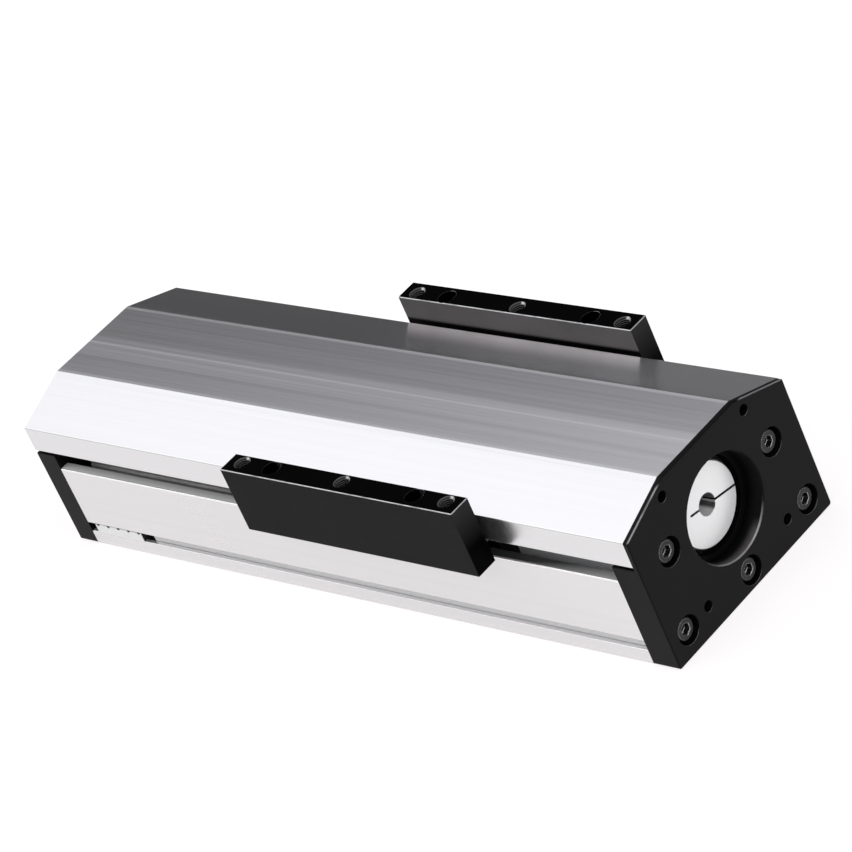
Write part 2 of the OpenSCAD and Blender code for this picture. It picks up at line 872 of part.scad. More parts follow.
module block_screws() {
  color("black")
    both_sides()
      for (end = [-1, 1])
        for (hole = block_holes)
          translate([x_saddle + end * block_spacing / 2 + hole[0], rail_spacing / 2 + hole[1], block_screw_head_z])
            socket_screw(m3, saddle_t - m3[2] + block_tap_depth - screw_tip_gap);
}

// one arm on the far side: a bar with a pocket for the saddle's tongue
module carriage_arm() {
  y0 = body_w / 2 + arm_gap;
  pocket_len = tongue_len + 2 * fit_gap;
  difference() {
    intersection() {
      translate([x_saddle, 0, arm_bottom])
        linear_extrude(arm_h)
          polygon(rounded_box(-arm_len / 2, y0, arm_len, arm_t, arm_edge));
      along(x_saddle - arm_len, x_saddle + arm_len)
        polygon(rounded_box(y0, arm_bottom, arm_t, arm_h, arm_edge));
      translate([x_saddle, y0 + arm_t + over, 0])
        rotate([90, 0, 0])
          linear_extrude(arm_t + 2 * over)
            polygon(rounded_box(-arm_len / 2, arm_bottom, arm_len, arm_h, arm_edge));
    }
    translate([x_saddle - pocket_len / 2, y0 - over, arm_bottom - over])
      cube([pocket_len, tongue_tip + fit_gap - y0 + over, saddle_top - arm_bottom + over]);
    for (i = [-1 : 1])
      translate([x_saddle + i * load_pitch / 2, arm_hole_row / 2, arm_top]) {
        translate([0, 0, -load_tap_depth])
          cylinder(d = load_tap_d, h = load_tap_depth + over);
        // countersink around the thread
        translate([0, 0, -load_edge])
          cylinder(d1 = load_tap_d, d2 = load_tap_d + 2 * (load_edge + over), h = load_edge + over, $fn = 48);
      }
    for (i = [-1, 1])
      translate([x_saddle + i * arm_screw_pitch / 2, arm_hole_row / 2, saddle_top + arm_screw_grip]) {
        cylinder(d = m4[1] + 2 * arm_screw_room, h = arm_h);
        screw_clearance(m4, arm_screw_grip + over);
      }
  }
}

module far_carriage_arm() {
  color("dimgray")
    carriage_arm();
}

module near_carriage_arm() {
  color("dimgray")
    mirror([0, 1, 0])
      carriage_arm();
}

module arm_screws() {
  color("black")
    both_sides()
      for (i = [-1, 1])
        translate([x_saddle + i * arm_screw_pitch / 2, arm_hole_row / 2, saddle_top + arm_screw_grip])
          socket_screw(m4, arm_screw_grip + saddle_t - saddle_clear);
}

// ---- bearings and their housing ----

retainer_t = 4;
retainer_d = bearing_d + 2;
ball_r = 1.9;
race_r = 2.1;
race_pitch = (bearing_d + journal_d) / 4 + 0.1;
idle_ball_r = 1.6;
idle_race_r = 1.8;
idle_race_pitch = (idle_bearing_d + stub_d) / 4;
ring_t = 2.2;

// a bearing ring between two radii, with a ball groove
module bearing_ring(r_in, r_out, x0, x1, pitch, groove) {
  difference() {
    turned([[r_in, x0], [r_out, x0], [r_out, x1], [r_in, x1]]);
    translate([(x0 + x1) / 2, 0, axis_z])
      rotate([0, 90, 0])
        rotate_extrude()
          translate([pitch, 0])
            circle(r = groove, $fn = 32);
  }
}

// a cage ring with its balls
module ball_cage(pitch, ball, x, count) {
  difference() {
    turned([
      [pitch - 0.5, x - ball * 0.6], [pitch + 0.5, x - ball * 0.6],
      [pitch + 0.5, x + ball * 0.6], [pitch - 0.5, x + ball * 0.6]
    ]);
    for (i = [0 : count - 1])
      translate([x, 0, axis_z])
        rotate([360 * i / count, 0, 0])
          translate([0, 0, pitch])
            sphere(r = ball - 0.1, $fn = 24);
  }
  for (i = [0 : count - 1])
    translate([x, 0, axis_z])
      rotate([360 * i / count, 0, 0])
        translate([0, 0, pitch])
          sphere(r = ball, $fn = 24);
}

module bearing_outer_rings() {
  color("lightgray")
    for (i = [0, 1])
      bearing_ring(bearing_d / 2 - ring_t, bearing_d / 2, x_bearing_rear + i * bearing_w,
                   x_bearing_rear + (i + 1) * bearing_w, race_pitch, race_r);
}

module bearing_inner_rings() {
  color("lightgray")
    for (i = [0, 1])
      bearing_ring(journal_d / 2 + seat_gap, journal_d / 2 + ring_t, x_bearing_rear + i * bearing_w,
                   x_bearing_rear + (i + 1) * bearing_w, race_pitch, race_r);
}

module bearing_ball_cages() {
  color("goldenrod")
    for (i = [0, 1])
      ball_cage(race_pitch, ball_r, x_bearing_rear + (i + 0.5) * bearing_w, 10);
}

module idle_bearing_outer_ring() {
  color("lightgray")
    bearing_ring(idle_bearing_d / 2 - ring_t, idle_bearing_d / 2, x_idle_inner - idle_bearing_w,
                 x_idle_inner, idle_race_pitch, idle_race_r);
}

module idle_bearing_inner_ring() {
  color("lightgray")
    bearing_ring(stub_d / 2 + seat_gap, stub_d / 2 + ring_t, x_idle_inner - idle_bearing_w,
                 x_idle_inner, idle_race_pitch, idle_race_r);
}

module idle_bearing_ball_cage() {
  color("goldenrod")
    ball_cage(idle_race_pitch, idle_ball_r, x_idle_inner - idle_bearing_w / 2, 9);
}

housing_side_gap = 4.6;
housing_w = body_w - 2 * (base_wall_t + housing_side_gap);
housing_side_h = 17;
housing_shoulder = seat_z + housing_side_h;
housing_roof_t = 3;
housing_top = axis_z + chamber_d / 2 + housing_roof_t;
// half the width of the housing's flat top
housing_crest = roof_w / 2 + 1.4;
tongue_gap = 0.2;
access_d = 6;
clamp_offset = 10.3;

// housing outline: a wide body on the rail seats, with a keel in the trough
module housing_profile() {
  keel = trough_w / 2 - tongue_gap;
  body = housing_w / 2;
  polygon(rounded(
    [[-keel, trough_floor], [keel, trough_floor], [keel, seat_z], [body, seat_z],
     [body, housing_shoulder], [housing_crest, housing_top], [-housing_crest, housing_top],
     [-body, housing_shoulder], [-body, seat_z], [-keel, seat_z]],
    [trough_r + 0.5, trough_r + 0.5, 0, 1, 2, 2, 2, 2, 1, 0]
  ));
}

module bearing_housing() {
  color("slategray")
    difference() {
      along(x_housing_rear, x_block_rear)
        housing_profile();
      bar(bearing_d + 2 * seat_gap, x_bearing_rear, x_block_rear);
      bar(retainer_d + 2 * thread_gap, x_bearing_front, x_block_rear);
      bar(chamber_d, x_bearing_front + retainer_t, x_block_rear + over);
      bar(bearing_d - 2 * ring_t, x_housing_rear - over, x_block_rear);
      for (place = top_screws)
        at_motor_face(place, head_recess + m5[2])
          screw_thread_hole(m5, end_screw_len + over);
      both_sides() {
        translate([housing_screw_x, rail_spacing / 2, housing_screw_seat]) {
          cylinder(d = m4[1] + head_room, h = housing_top);
          screw_clearance(m4, housing_screw_seat);
        }
        bar(bumper_pin_d + 2 * seat_gap, x_housing_rear - over, x_housing_rear + bumper_pin_len + over / 2,
            bumper_y, bumper_z);
      }
      // hole for the key that tightens the screw hub
      translate([x_screw_hub_rear + hub_len / 2, clamp_offset, axis_z])
        cylinder(d = access_d, h = housing_top);
    }
}

module housing_screws() {
  color("black")
    both_sides()
      translate([housing_screw_x, rail_spacing / 2, housing_screw_seat])
        socket_screw(m4, housing_screw_len);
}

lock_nut_d = 18;
lock_nut_edge = 0.8;
lock_slot_w = 3;
lock_slot_depth = 2;
retainer_gap = 1.4;
retainer_pin_d = 1.6;
collar_wall = 2.4;
collar_out = 1.6;

module bearing_retainer() {
  inner = lock_nut_d / 2 + retainer_gap;
  color("gray")
    difference() {
      turned([
        [inner, x_bearing_front], [retainer_d / 2, x_bearing_front],
        [retainer_d / 2, x_bearing_front + retainer_t], [inner, x_bearing_front + retainer_t]
      ]);
      // holes for a pin spanner
      both_sides()
        bar(retainer_pin_d, x_bearing_front + retainer_t / 2, x_bearing_front + retainer_t + over,
            (retainer_d / 2 + inner) / 2);
    }
}

module spacer_collar() {
  outer = journal_d / 2 + collar_wall;
  inner = journal_d / 2 + seat_gap;
  color("gray")
    turned([
      [inner, x_housing_rear - collar_out], [outer, x_housing_rear - collar_out],
      [outer, x_bearing_rear], [inner, x_bearing_rear]
    ]);
}

module bearing_lock_nut() {
  color("gray")
    difference() {
      turned([
        [journal_d / 2 + thread_gap, x_bearing_front], [lock_nut_d / 2, x_bearing_front],
        [lock_nut_d / 2, x_bearing_front + lock_nut_t - lock_nut_edge],
        [lock_nut_d / 2 - lock_nut_edge, x_bearing_front + lock_nut_t],
        [journal_d / 2 + thread_gap, x_bearing_front + lock_nut_t]
      ]);
      for (a = [0 : 90 : 270])
        translate([x_bearing_front + lock_nut_t, 0, axis_z])
          rotate([a, 0, 0])
            translate([-lock_slot_depth, -lock_slot_w / 2, lock_nut_d / 2 - lock_slot_depth])
              cube([2 * lock_slot_depth, lock_slot_w, 2 * lock_slot_depth]);
    }
}

clip_t = 0.9;
clip_x = x_idle_inner - idle_bearing_w - clip_t;
clip_groove = 0.4;
clip_wall = 1.4;
clip_opening = 2.4;
stub_over = 0.4;

module shaft_retaining_ring() {
  color("black")
    difference() {
      turned([
        [stub_d / 2 - clip_groove + seat_gap, clip_x], [stub_d / 2 + clip_wall, clip_x],
        [stub_d / 2 + clip_wall, clip_x + clip_t], [stub_d / 2 - clip_groove + seat_gap, clip_x + clip_t]
      ]);
      translate([clip_x - over, -clip_opening / 2, axis_z])
        cube([clip_t + 2 * over, clip_opening, stub_d]);
    }
}

thread_edge = 1;
journal_edge = 0.8;
stub_edge = 0.5;
stub_gap = 1.5;

module ball_screw() {
  x_journal = x_housing_rear - collar_out;
  x_stub = x_bearing_front + lock_nut_t + stub_over;
  x_end = x_screw_hub_front - stub_gap;
  color("lightblue")
    turned([
      [0, clip_x - stub_over], [stub_d / 2 - stub_over, clip_x - stub_over], [stub_d / 2, clip_x],
      [stub_d / 2 - clip_groove, clip_x], [stub_d / 2 - clip_groove, clip_x + clip_t],
      [stub_d / 2, clip_x + clip_t], [stub_d / 2, x_idle_inner],
      [screw_d / 2 - thread_edge, x_idle_inner], [screw_d / 2, x_idle_inner + thread_edge],
      [screw_d / 2, x_journal - journal_edge], [screw_d / 2 - journal_edge, x_journal],
      [journal_d / 2, x_journal], [journal_d / 2, x_stub - stub_edge],
      [journal_d / 2 - stub_edge, x_stub], [stub_d / 2, x_stub], [stub_d / 2, x_end - stub_edge],
      [stub_d / 2 - stub_edge, x_end], [0, x_end]
    ]);
}

// ---- coupling ----

star_hole_d = 8.8;
star_core_d = 14;
jaw_count = 3;
jaw_step = half_turn / jaw_count;
jaw_angle = 34;
// the first jaw's angle, which keeps both hubs' slits between their jaws
jaw_turn = 24.5;
star_angle = 24;
jaw_end_gap = 0.3;
hub_edge = 0.5;
clamp_head_depth = 3.4;
clamp_screw_len = 10;
slit_past_centre = 8.8;
// how far the jaws are rooted in their hub
jaw_root = 0.4;

// an arc-shaped jaw around the axis, its middle at the given angle
module jaw(r_in, r_out, width, x0, x1, angle) {
  intersection() {
    difference() {
      bar(2 * r_out, x0, x1);
      bar(2 * r_in, x0 - over, x1 + over);
    }
    translate([x0 - over, 0, axis_z])
      rotate([angle, 0, 0])
        rotate([90, 0, 90])
          linear_extrude(x1 - x0 + 2 * over)
            polygon([[0, 0], coupling_d * [cos(width / 2), -sin(width / 2)], coupling_d * [cos(width / 2), sin(width / 2)]]);
  }
}

// a clamping hub whose slit side looks at +across, before it is turned about the axis
module clamp_hub(x0, x1, jaws_to, turn) {
  translate([0, 0, axis_z])
    rotate([turn, 0, 0])
      translate([0, 0, -axis_z])
        difference() {
          turned([
            [stub_d / 2 + seat_gap, x0], [coupling_d / 2 - hub_edge, x0], [coupling_d / 2, x0 + hub_edge],
            [coupling_d / 2, x1 - hub_edge], [coupling_d / 2 - hub_edge, x1], [stub_d / 2 + seat_gap, x1]
          ]);
          translate([x0 - over, -slit_past_centre, axis_z - slit_w / 2])
            cube([x1 - x0 + 2 * over, slit_past_centre + coupling_d, slit_w]);
          // hole of the clamping screw: head side, plain and tapped
          translate([(x0 + x1) / 2, clamp_offset, axis_z + slit_w / 2 + clamp_head_depth])
            cylinder(d = m3[1] + head_room, h = coupling_d);
          translate([(x0 + x1) / 2, clamp_offset, axis_z + slit_w / 2 + clamp_head_depth])
            screw_clearance(m3, clamp_head_depth + slit_w);
          translate([(x0 + x1) / 2, clamp_offset, axis_z])
            screw_thread_hole(m3, coupling_d);
        }
  // the motor hub's jaws reach back from its rear face, the screw hub's forward from its front face
  back = jaws_to < x0;
  for (i = [0 : jaw_count - 1])
    jaw(star_core_d / 2 + jaw_end_gap, coupling_d / 2 - hub_edge, jaw_angle, back ? jaws_to : x1 - jaw_root,
        back ? x0 + jaw_root : jaws_to, jaw_turn + (2 * i + (back ? 0 : 1)) * jaw_step);
}

module coupling_motor_hub() {
  color("white")
    clamp_hub(x_star, x_coupling_face, x_star - star_len + jaw_end_gap, slit_angle);
}

module coupling_screw_hub() {
  color("white")
    clamp_hub(x_screw_hub_rear, x_screw_hub_front, x_star - jaw_end_gap, 0);
}

module coupling_star() {
  color("red")
    difference() {
      union() {
        bar(star_core_d, x_screw_hub_front + jaw_end_gap, x_star - jaw_end_gap);
        for (i = [0 : 2 * jaw_count - 1])
          jaw(star_hole_d / 2, coupling_d / 2 - hub_edge, star_angle, x_screw_hub_front + jaw_end_gap,
              x_star - jaw_end_gap, jaw_turn + (i + 0.5) * jaw_step);
      }
      bar(star_hole_d, x_screw_hub_front - over, x_star + over);
    }
}

module coupling_clamp_screws() {
  color("black") {
    translate([x_star + hub_len / 2, 0, axis_z])
      rotate([slit_angle, 0, 0])
        translate([0, clamp_offset, slit_w / 2 + clamp_head_depth])
          socket_screw(m3, clamp_screw_len);
    translate([x_screw_hub_rear + hub_len / 2, clamp_offset, axis_z + slit_w / 2 + clamp_head_depth])
      socket_screw(m3, clamp_screw_len);
  }
}

// ---- stops and sensor ----

module motor_end_stops() {
  color("darkslategray")
    both_sides() {
      bar(bumper_d, x_housing_rear - motor_stop_len, x_housing_rear, bumper_y, bumper_z);
      bar(bumper_pin_d, x_housing_rear - bumper_root, x_housing_rear + bumper_pin_len, bumper_y, bumper_z);
    }
}

module idle_end_stops() {
  color("darkslategray")
    both_sides() {
      bar(bumper_d, x_idle_inner, x_idle_inner + idle_stop_len, bumper_y, bumper_z);
      bar(bumper_pin_d, x_idle_inner - bumper_pin_len, x_idle_inner + bumper_root, bumper_y, bumper_z);
    }
}

sensor_notches = 5;

module slot_sensor() {
  x0 = x_idle_inner + sensor_from_end;
  edge = -body_w / 2;
  pitch = sensor_len / (sensor_notches - 0.5);
  color("ivory")
    difference() {
      along(x0, x0 + sensor_len) {
        translate([edge + slot_lip_t + fit_gap, slot_z - slot_cavity_h / 2 + fit_gap])
          square([slot_depth - slot_lip_t - 2 * fit_gap, slot_cavity_h - 2 * fit_gap]);
        translate([edge, slot_z - slot_mouth / 2 + fit_gap])
          square([slot_lip_t + 2 * fit_gap, slot_mouth - 2 * fit_gap]);
      }
      for (i = [0 : sensor_notches - 1])
        translate([x0 + (i + 0.25) * pitch, edge - over, slot_z + slot_mouth / 2])
          rotate([-90, 0, 0])
            cylinder(r = 0.9, h = slot_lip_t + over, $fn = 24);
    }
}

// strips behind the lips of both side slots, which leave a shallow channel in view
module slot_covers() {
  x0 = x_idle_inner + sensor_from_end + sensor_len + slot_cover_gap;
  color("lightgray")
    for (side = [0, 1])
      mirror([0, side, 0])
        along(side == 0 ? x0 : x_idle_inner + fit_gap, x_block_rear - fit_gap)
          translate([-body_w / 2 + slot_lip_t + fit_gap, slot_z - slot_cavity_h / 2 + fit_gap])
            square([slot_depth - slot_lip_t - 2 * fit_gap, slot_cavity_h - 2 * fit_gap]);
}

base_profile();
top_cover();
motor_end_block();
idle_end_block();
motor_end_screws();
idle_end_screws();
near_guide_rail();
far_guide_rail();
rail_screws();
bearing_housing();
housing_screws();
bearing_outer_rings();
bearing_ball_cages();
bearing_inner_rings();
bearing_retainer();
spacer_collar();
bearing_lock_nut();
idle_bearing_outer_ring();
idle_bearing_ball_cage();
idle_bearing_inner_ring();
shaft_retaining_ring();
ball_screw();
ball_nut();
nut_screws();
saddle();
near_motor_guide_block();
near_idle_guide_block();
far_motor_guide_block();
far_idle_guide_block();
block_screws();
near_carriage_arm();
far_carriage_arm();
arm_screws();
coupling_motor_hub();
coupling_star();
coupling_screw_hub();
coupling_clamp_screws();
motor_end_stops();
idle_end_stops();
slot_sensor();
slot_covers();
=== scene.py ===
# %% [markdown]
# # A covered ball screw module
# This lesson dresses a finished CAD model for a picture. The module is an aluminium
# base under an aluminium cover, with black end blocks, and a carriage whose two black
# arms run along outside the cover. A ball screw, two guide rails and a coupling work
# inside it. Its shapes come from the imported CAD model, called the frame. What is left
# to Blender is the light, the camera, the finishes, and a few fine forms such as threads.

# %% Load the frame
import json
import math

import bpy
import numpy as np
from mathutils import Matrix, Vector


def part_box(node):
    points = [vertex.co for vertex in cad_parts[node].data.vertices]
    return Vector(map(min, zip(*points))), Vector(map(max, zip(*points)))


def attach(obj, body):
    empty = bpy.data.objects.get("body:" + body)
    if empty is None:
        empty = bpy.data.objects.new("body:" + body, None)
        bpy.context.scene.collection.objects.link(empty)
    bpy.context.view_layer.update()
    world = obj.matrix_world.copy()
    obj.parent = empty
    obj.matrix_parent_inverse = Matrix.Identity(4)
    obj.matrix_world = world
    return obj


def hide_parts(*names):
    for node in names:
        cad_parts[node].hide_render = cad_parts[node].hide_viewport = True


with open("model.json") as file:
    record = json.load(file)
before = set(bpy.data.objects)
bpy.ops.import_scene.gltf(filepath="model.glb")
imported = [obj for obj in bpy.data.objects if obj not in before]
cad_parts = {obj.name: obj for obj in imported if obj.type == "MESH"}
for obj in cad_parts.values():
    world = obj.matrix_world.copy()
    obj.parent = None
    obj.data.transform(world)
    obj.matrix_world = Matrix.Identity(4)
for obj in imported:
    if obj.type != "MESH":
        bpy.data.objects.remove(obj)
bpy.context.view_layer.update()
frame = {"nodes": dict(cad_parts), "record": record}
MM = 0.001
print("CAD nodes:", len(frame["nodes"]))

# %% [markdown]
# ## The camera
# Placing a camera by hand and nudging it is slow. Here it is set from what one would
# say to a helper: which point it aims at, from which side, how high and how far away,
# and how much it is rolled. The three directions of the camera follow from those
# angles, and become the columns of its matrix. A long lens from far off keeps the
# module's long edges nearly parallel.

# %% Place the camera
AIM = Vector((-0.0029, 0.0160, 0.0319))
DISTANCE = 1.4935
AZIMUTH, ELEVATION, ROLL = (math.radians(a) for a in (53.5215, 30.3962, -24.4935))
LENS_MM = 173.995
SENSOR_MM = 36
VIEW_END = 60


def put_in_scene(name, data):
    """A new object that holds data, linked to the scene."""
    piece = bpy.data.objects.new(name, data)
    bpy.context.scene.collection.objects.link(piece)
    return piece


back = Vector((
    math.sin(AZIMUTH) * math.cos(ELEVATION),
    -math.cos(AZIMUTH) * math.cos(ELEVATION),
    math.sin(ELEVATION),
))
level = Vector((math.cos(AZIMUTH), math.sin(AZIMUTH), 0))
upright = back.cross(level)
right = level * math.cos(ROLL) + upright * math.sin(ROLL)
up = upright * math.cos(ROLL) - level * math.sin(ROLL)
turned = Matrix((right, up, back)).transposed().to_4x4()
camera = put_in_scene("camera", bpy.data.cameras.new("camera"))
camera.data.lens = LENS_MM
camera.data.sensor_width = SENSOR_MM
camera.data.clip_end = VIEW_END
camera.matrix_world = Matrix.Translation(AIM + back * DISTANCE) @ turned
bpy.context.scene.camera = camera
print("camera at", [round(c, 3) for c in camera.location])

# %% [markdown]
# ## A short way to write shader nodes
# A material in Blender is a small graph. Building one with the API takes many lines,
# so one helper adds a node, sets its options, and either links a socket or sets its
# value. A number that is the same all over a surface stays on the shader's own socket.
# Arithmetic on sockets then reads almost like a formula.

# %% Add nodes and do arithmetic
def add(tree, kind, values=None, **options):
    """Adds one node. options are its own settings. values maps a socket's name or
    number to another node's output, which is linked, or to a plain value."""
    node = tree.nodes.new("ShaderNode" + kind)
    for name, value in options.items():
        setattr(node, name, value)
    for name, value in (values or {}).items():
        if isinstance(value, bpy.types.NodeSocket):
            tree.links.new(value, node.inputs[name])
        else:
            node.inputs[name].default_value = value
    return node


def calculate(tree, operation, *values):
    """One step of arithmetic on sockets or numbers. More than two values are joined
    by the same operation, from the left."""
    result = add(tree, "Math", dict(enumerate(values[:2])), operation=operation).outputs[0]
    return calculate(tree, operation, result, *values[2:]) if len(values) > 2 else result


def total(tree, *values):
    return calculate(tree, "ADD", *values)


def product(tree, *values):
    return calculate(tree, "MULTIPLY", *values)


def largest(tree, *values):
    return calculate(tree, "MAXIMUM", *values)


def less(tree, first, second):
    return calculate(tree, "SUBTRACT", first, second)


def unsigned(tree, value):
    return calculate(tree, "ABSOLUTE", value)


def blend(tree, share, first, second):
    """A number that goes from first to second as share goes from 0 to 1."""
    return add(tree, "Mix", {0: share, 2: first, 3: second}, data_type="FLOAT").outputs[0]


print("arithmetic helpers ready")

# %% [markdown]
# ## Masks
# Most finishes differ from place to place, and so do the painted highlights and shade
# that stand in for light here: a wall's top is darker under the cover, an edge is pale.
# A mask is a number from 0 to 1 that says how much of that a point has. It could be
# painted by hand. Here it is worked out from where the point lies, so that it follows
# the CAD model's own sizes.

# %% Helpers for masks
def spread(tree, value, low, high, to_low, to_high, smooth=False):
    """Maps value from the range low..high onto to_low..to_high."""
    kind = "SMOOTHSTEP" if smooth else "LINEAR"
    values = {"Value": value, "From Min": low, "From Max": high}
    values.update({"To Min": to_low, "To Max": to_high})
    return add(tree, "MapRange", values, interpolation_type=kind).outputs[0]


def rising(tree, value, low, high, smooth=False):
    """0 up to low, then rising to 1 at high."""
    return spread(tree, value, low, high, 0.0, 1.0, smooth)


def falling(tree, value, low, high, smooth=False):
    """1 up to low, then falling to 0 at high."""
    return spread(tree, value, low, high, 1.0, 0.0, smooth)


def band(tree, value, low, high, soft):
    """1 while value is between low and high, falling to 0 within soft beyond them."""
    above = rising(tree, value, low - soft, low)
    return product(tree, above, falling(tree, value, high, high + soft))


def place(tree):
    """The point on the surface, in metres, in the frame's own directions."""
    return add(tree, "TexCoord").outputs["Object"]


def parts_of(tree, vector):
    """A vector's X, Y and Z."""
    return add(tree, "SeparateXYZ", {0: vector}).outputs


def facing(tree):
    """The X, Y and Z of the direction that the face points in."""
    return parts_of(tree, add(tree, "NewGeometry").outputs["True Normal"])


print("mask helpers ready")

# %% [markdown]
# ## Grain, colour and rounded edges
# Metal has grain from its tools, which is noise with the right stretch. CAD edges are
# perfectly sharp, and real ones never are. A bevel modifier would round them, but it
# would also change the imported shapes. The Bevel node only turns the normal near an
# edge, as if it were rounded, and that is enough to make it catch the light.

# %% Helpers for grain and colour
def grain(tree, point, scale, detail, stretch=(1, 1, 1)):
    """Noise between about 0.3 and 0.7, with scale cells to a metre, drawn out along
    the axes whose stretch is small."""
    values = {"Vector": point, "Scale": [scale * s for s in stretch]}
    cells = add(tree, "Mapping", values).outputs[0]
    values = {"Vector": cells, "Scale": 1.0, "Detail": detail, "Roughness": 0.5}
    return add(tree, "TexNoise", values).outputs[0]


def from_grain(tree, noise, low, high):
    """Maps the noise's usual range onto low..high."""
    return spread(tree, noise, 0.3, 0.7, low, high)


def tint(tree, share, first, second):
    """A colour that goes from first to second as share goes from 0 to 1. Each is a
    socket, or its red, green and blue."""
    ends = [c if isinstance(c, bpy.types.NodeSocket) else (*c, 1) for c in (first, second)]
    return add(tree, "Mix", {0: share, 6: ends[0], 7: ends[1]}, data_type="RGBA").outputs[2]


def clouded(tree, cloud, dark, light):
    """A colour between dark and light that follows a noise."""
    return tint(tree, from_grain(tree, cloud, 0.0, 1.0), dark, light)


def scaled(tree, colour, factor):
    """A colour made darker or paler by a factor."""
    return add(tree, "VectorMath", {0: colour, "Scale": factor}, operation="SCALE").outputs[0]


def bump(tree, height, normal=None):
    """Tilts the surface as if it had that height, in metres."""
    values = {"Height": height, "Strength": 1.0, "Distance": 1.0}
    if normal is not None:
        values["Normal"] = normal
    return add(tree, "Bump", values).outputs[0]


def rounded_normal(tree, radius):
    """The normal that a surface would have if its sharp edges were rounded."""
    return add(tree, "Bevel", {"Radius": radius}, samples=6).outputs[0]


def start_material(name, metallic, specular=0.5):
    """A new material with its graph and its Principled shader."""
    material = bpy.data.materials.new(name)
    material.use_nodes = True
    shader = material.node_tree.nodes["Principled BSDF"]
    shader.inputs["Metallic"].default_value = metallic
    shader.inputs["IOR"].default_value = 1.45
    shader.inputs["Specular IOR Level"].default_value = specular
    return material, material.node_tree, shader


def finish_shader(tree, shader, colour, roughness, normal):
    """Links the three things that a finish is made of."""
    tree.links.new(colour, shader.inputs["Base Color"])
    tree.links.new(roughness, shader.inputs["Roughness"])
    tree.links.new(normal, shader.inputs["Normal"])


print("finish helpers ready")

# %% [markdown]
# ## Satin anodised extrusion
# The base and the cover are pressed through a die, which leaves fine lines along their
# whole length, then etched and anodised. Two noises that are stretched along X give
# those lines: a coarse one for the faint streaks that show from far away, and a fine
# one for the satin. They change the colour and the roughness a little, and the
# surface's height by less than a micron, because a satin face must stay calm in the
# large reflections.

# %% Extruded aluminium
ALONG_X = (0.002, 1, 1)
SATIN = (0.215, 0.245)
SATIN_HEIGHT = 0.0000002
DULL_METAL = 0.1
DULL_SKIN = (0.96, 0.96, 0.96)
# The pale skin next paints highlights, and the near-black after it paints shade, and on the roof
# also random streaks.
HIGHLIGHT_SKIN = (0.97, 0.97, 0.97)
NEAR_BLACK = (0.02, 0.02, 0.02)
BASE_EDGE = 0.0004


def extruded_aluminium(name, dark, light, metallic, crown=None, dull_at=None, bright_at=None,
                       dark_at=None, broken=False):
    """crown adds a height, dull_at a share of brighter, duller skin, bright_at a share of pale
    metal that paints a highlight, and dark_at a share of near-black that paints shade, and
    on the roof also random streaks. broken rounds the edges slightly."""
    material, tree, shader = start_material(name, metallic)
    point = place(tree)
    streaks = grain(tree, point, 420, 3, ALONG_X)
    lines = grain(tree, point, 1100, 2, ALONG_X)
    mottle = grain(tree, point, 9, 2)
    share = total(tree, product(tree, streaks, 0.6), product(tree, mottle, 0.4))
    colour = tint(tree, rising(tree, share, 0.35, 0.65), dark, light)
    height = product(tree, lines, SATIN_HEIGHT)
    if crown is not None:
        height = total(tree, height, crown(tree, point))
    if dull_at is not None:
        dull = dull_at(tree, point)
        colour = tint(tree, dull, colour, DULL_SKIN)
        metal = spread(tree, dull, 0.0, 1.0, metallic, DULL_METAL)
        if bright_at is not None:
            bright = bright_at(tree, point)
            colour = tint(tree, bright, colour, HIGHLIGHT_SKIN)
            metal = largest(tree, metal, bright)
        tree.links.new(metal, shader.inputs["Metallic"])
    if dark_at is not None:
        colour = tint(tree, dark_at(tree, point), colour, NEAR_BLACK)
    normal = rounded_normal(tree, BASE_EDGE) if broken else None
    roughness = from_grain(tree, lines, *SATIN)
    finish_shader(tree, shader, colour, roughness, bump(tree, height, normal))
    return material


strip_metal = extruded_aluminium("slot_cover_strip", (0.60, 0.60, 0.60), (0.66, 0.66, 0.66), 0.25)
print("made the slot strips' finish:", strip_metal.name)

# %% [markdown]
# ## The cover's roof
# The roof of a real cover is never quite flat. It falls by about a third of a
# millimetre to each side of a ridge, and the two halves then reflect different parts of
# the room. That slight tilt is a height, so it works from every side, where a painted
# shade would not. A few single lines, pale or dark, also run the whole length, with paler
# and darker skin beside them: these are painted highlights, painted light and painted
# shade. Each is a band in Y: a start, an end and a softness. Where the share of paler or
# darker skin changes along the cover, it is a run: two places along X, and the share at
# each.

# %% The roof's crown
cover_low, cover_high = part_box("top_cover")
ROOF_HALF = 0.0206
RIDGE_Y = 0.0025
RIDGE_BLEND = 0.0012
RIDGE_FALL = 0.016


def roof_crown(tree, point):
    """The roof's height over a true plane: it falls at RIDGE_FALL to each side of a
    ridge that is RIDGE_Y off the middle, and the ridge is RIDGE_BLEND wide. Beyond the
    roof's edges the height stays as it is there, so the slopes have no step."""
    across = largest(tree, parts_of(tree, point)[1], -ROOF_HALF)
    off = less(tree, calculate(tree, "MINIMUM", across, ROOF_HALF), RIDGE_Y)
    squared = total(tree, product(tree, off, off), RIDGE_BLEND ** 2)
    return product(tree, calculate(tree, "SQRT", squared), -RIDGE_FALL)


print("the roof falls by up to", round(RIDGE_FALL * (ROOF_HALF + RIDGE_Y) / MM, 2), "mm")

# %% Lines and streaks on the cover
LIP_HEIGHT = 0.0106
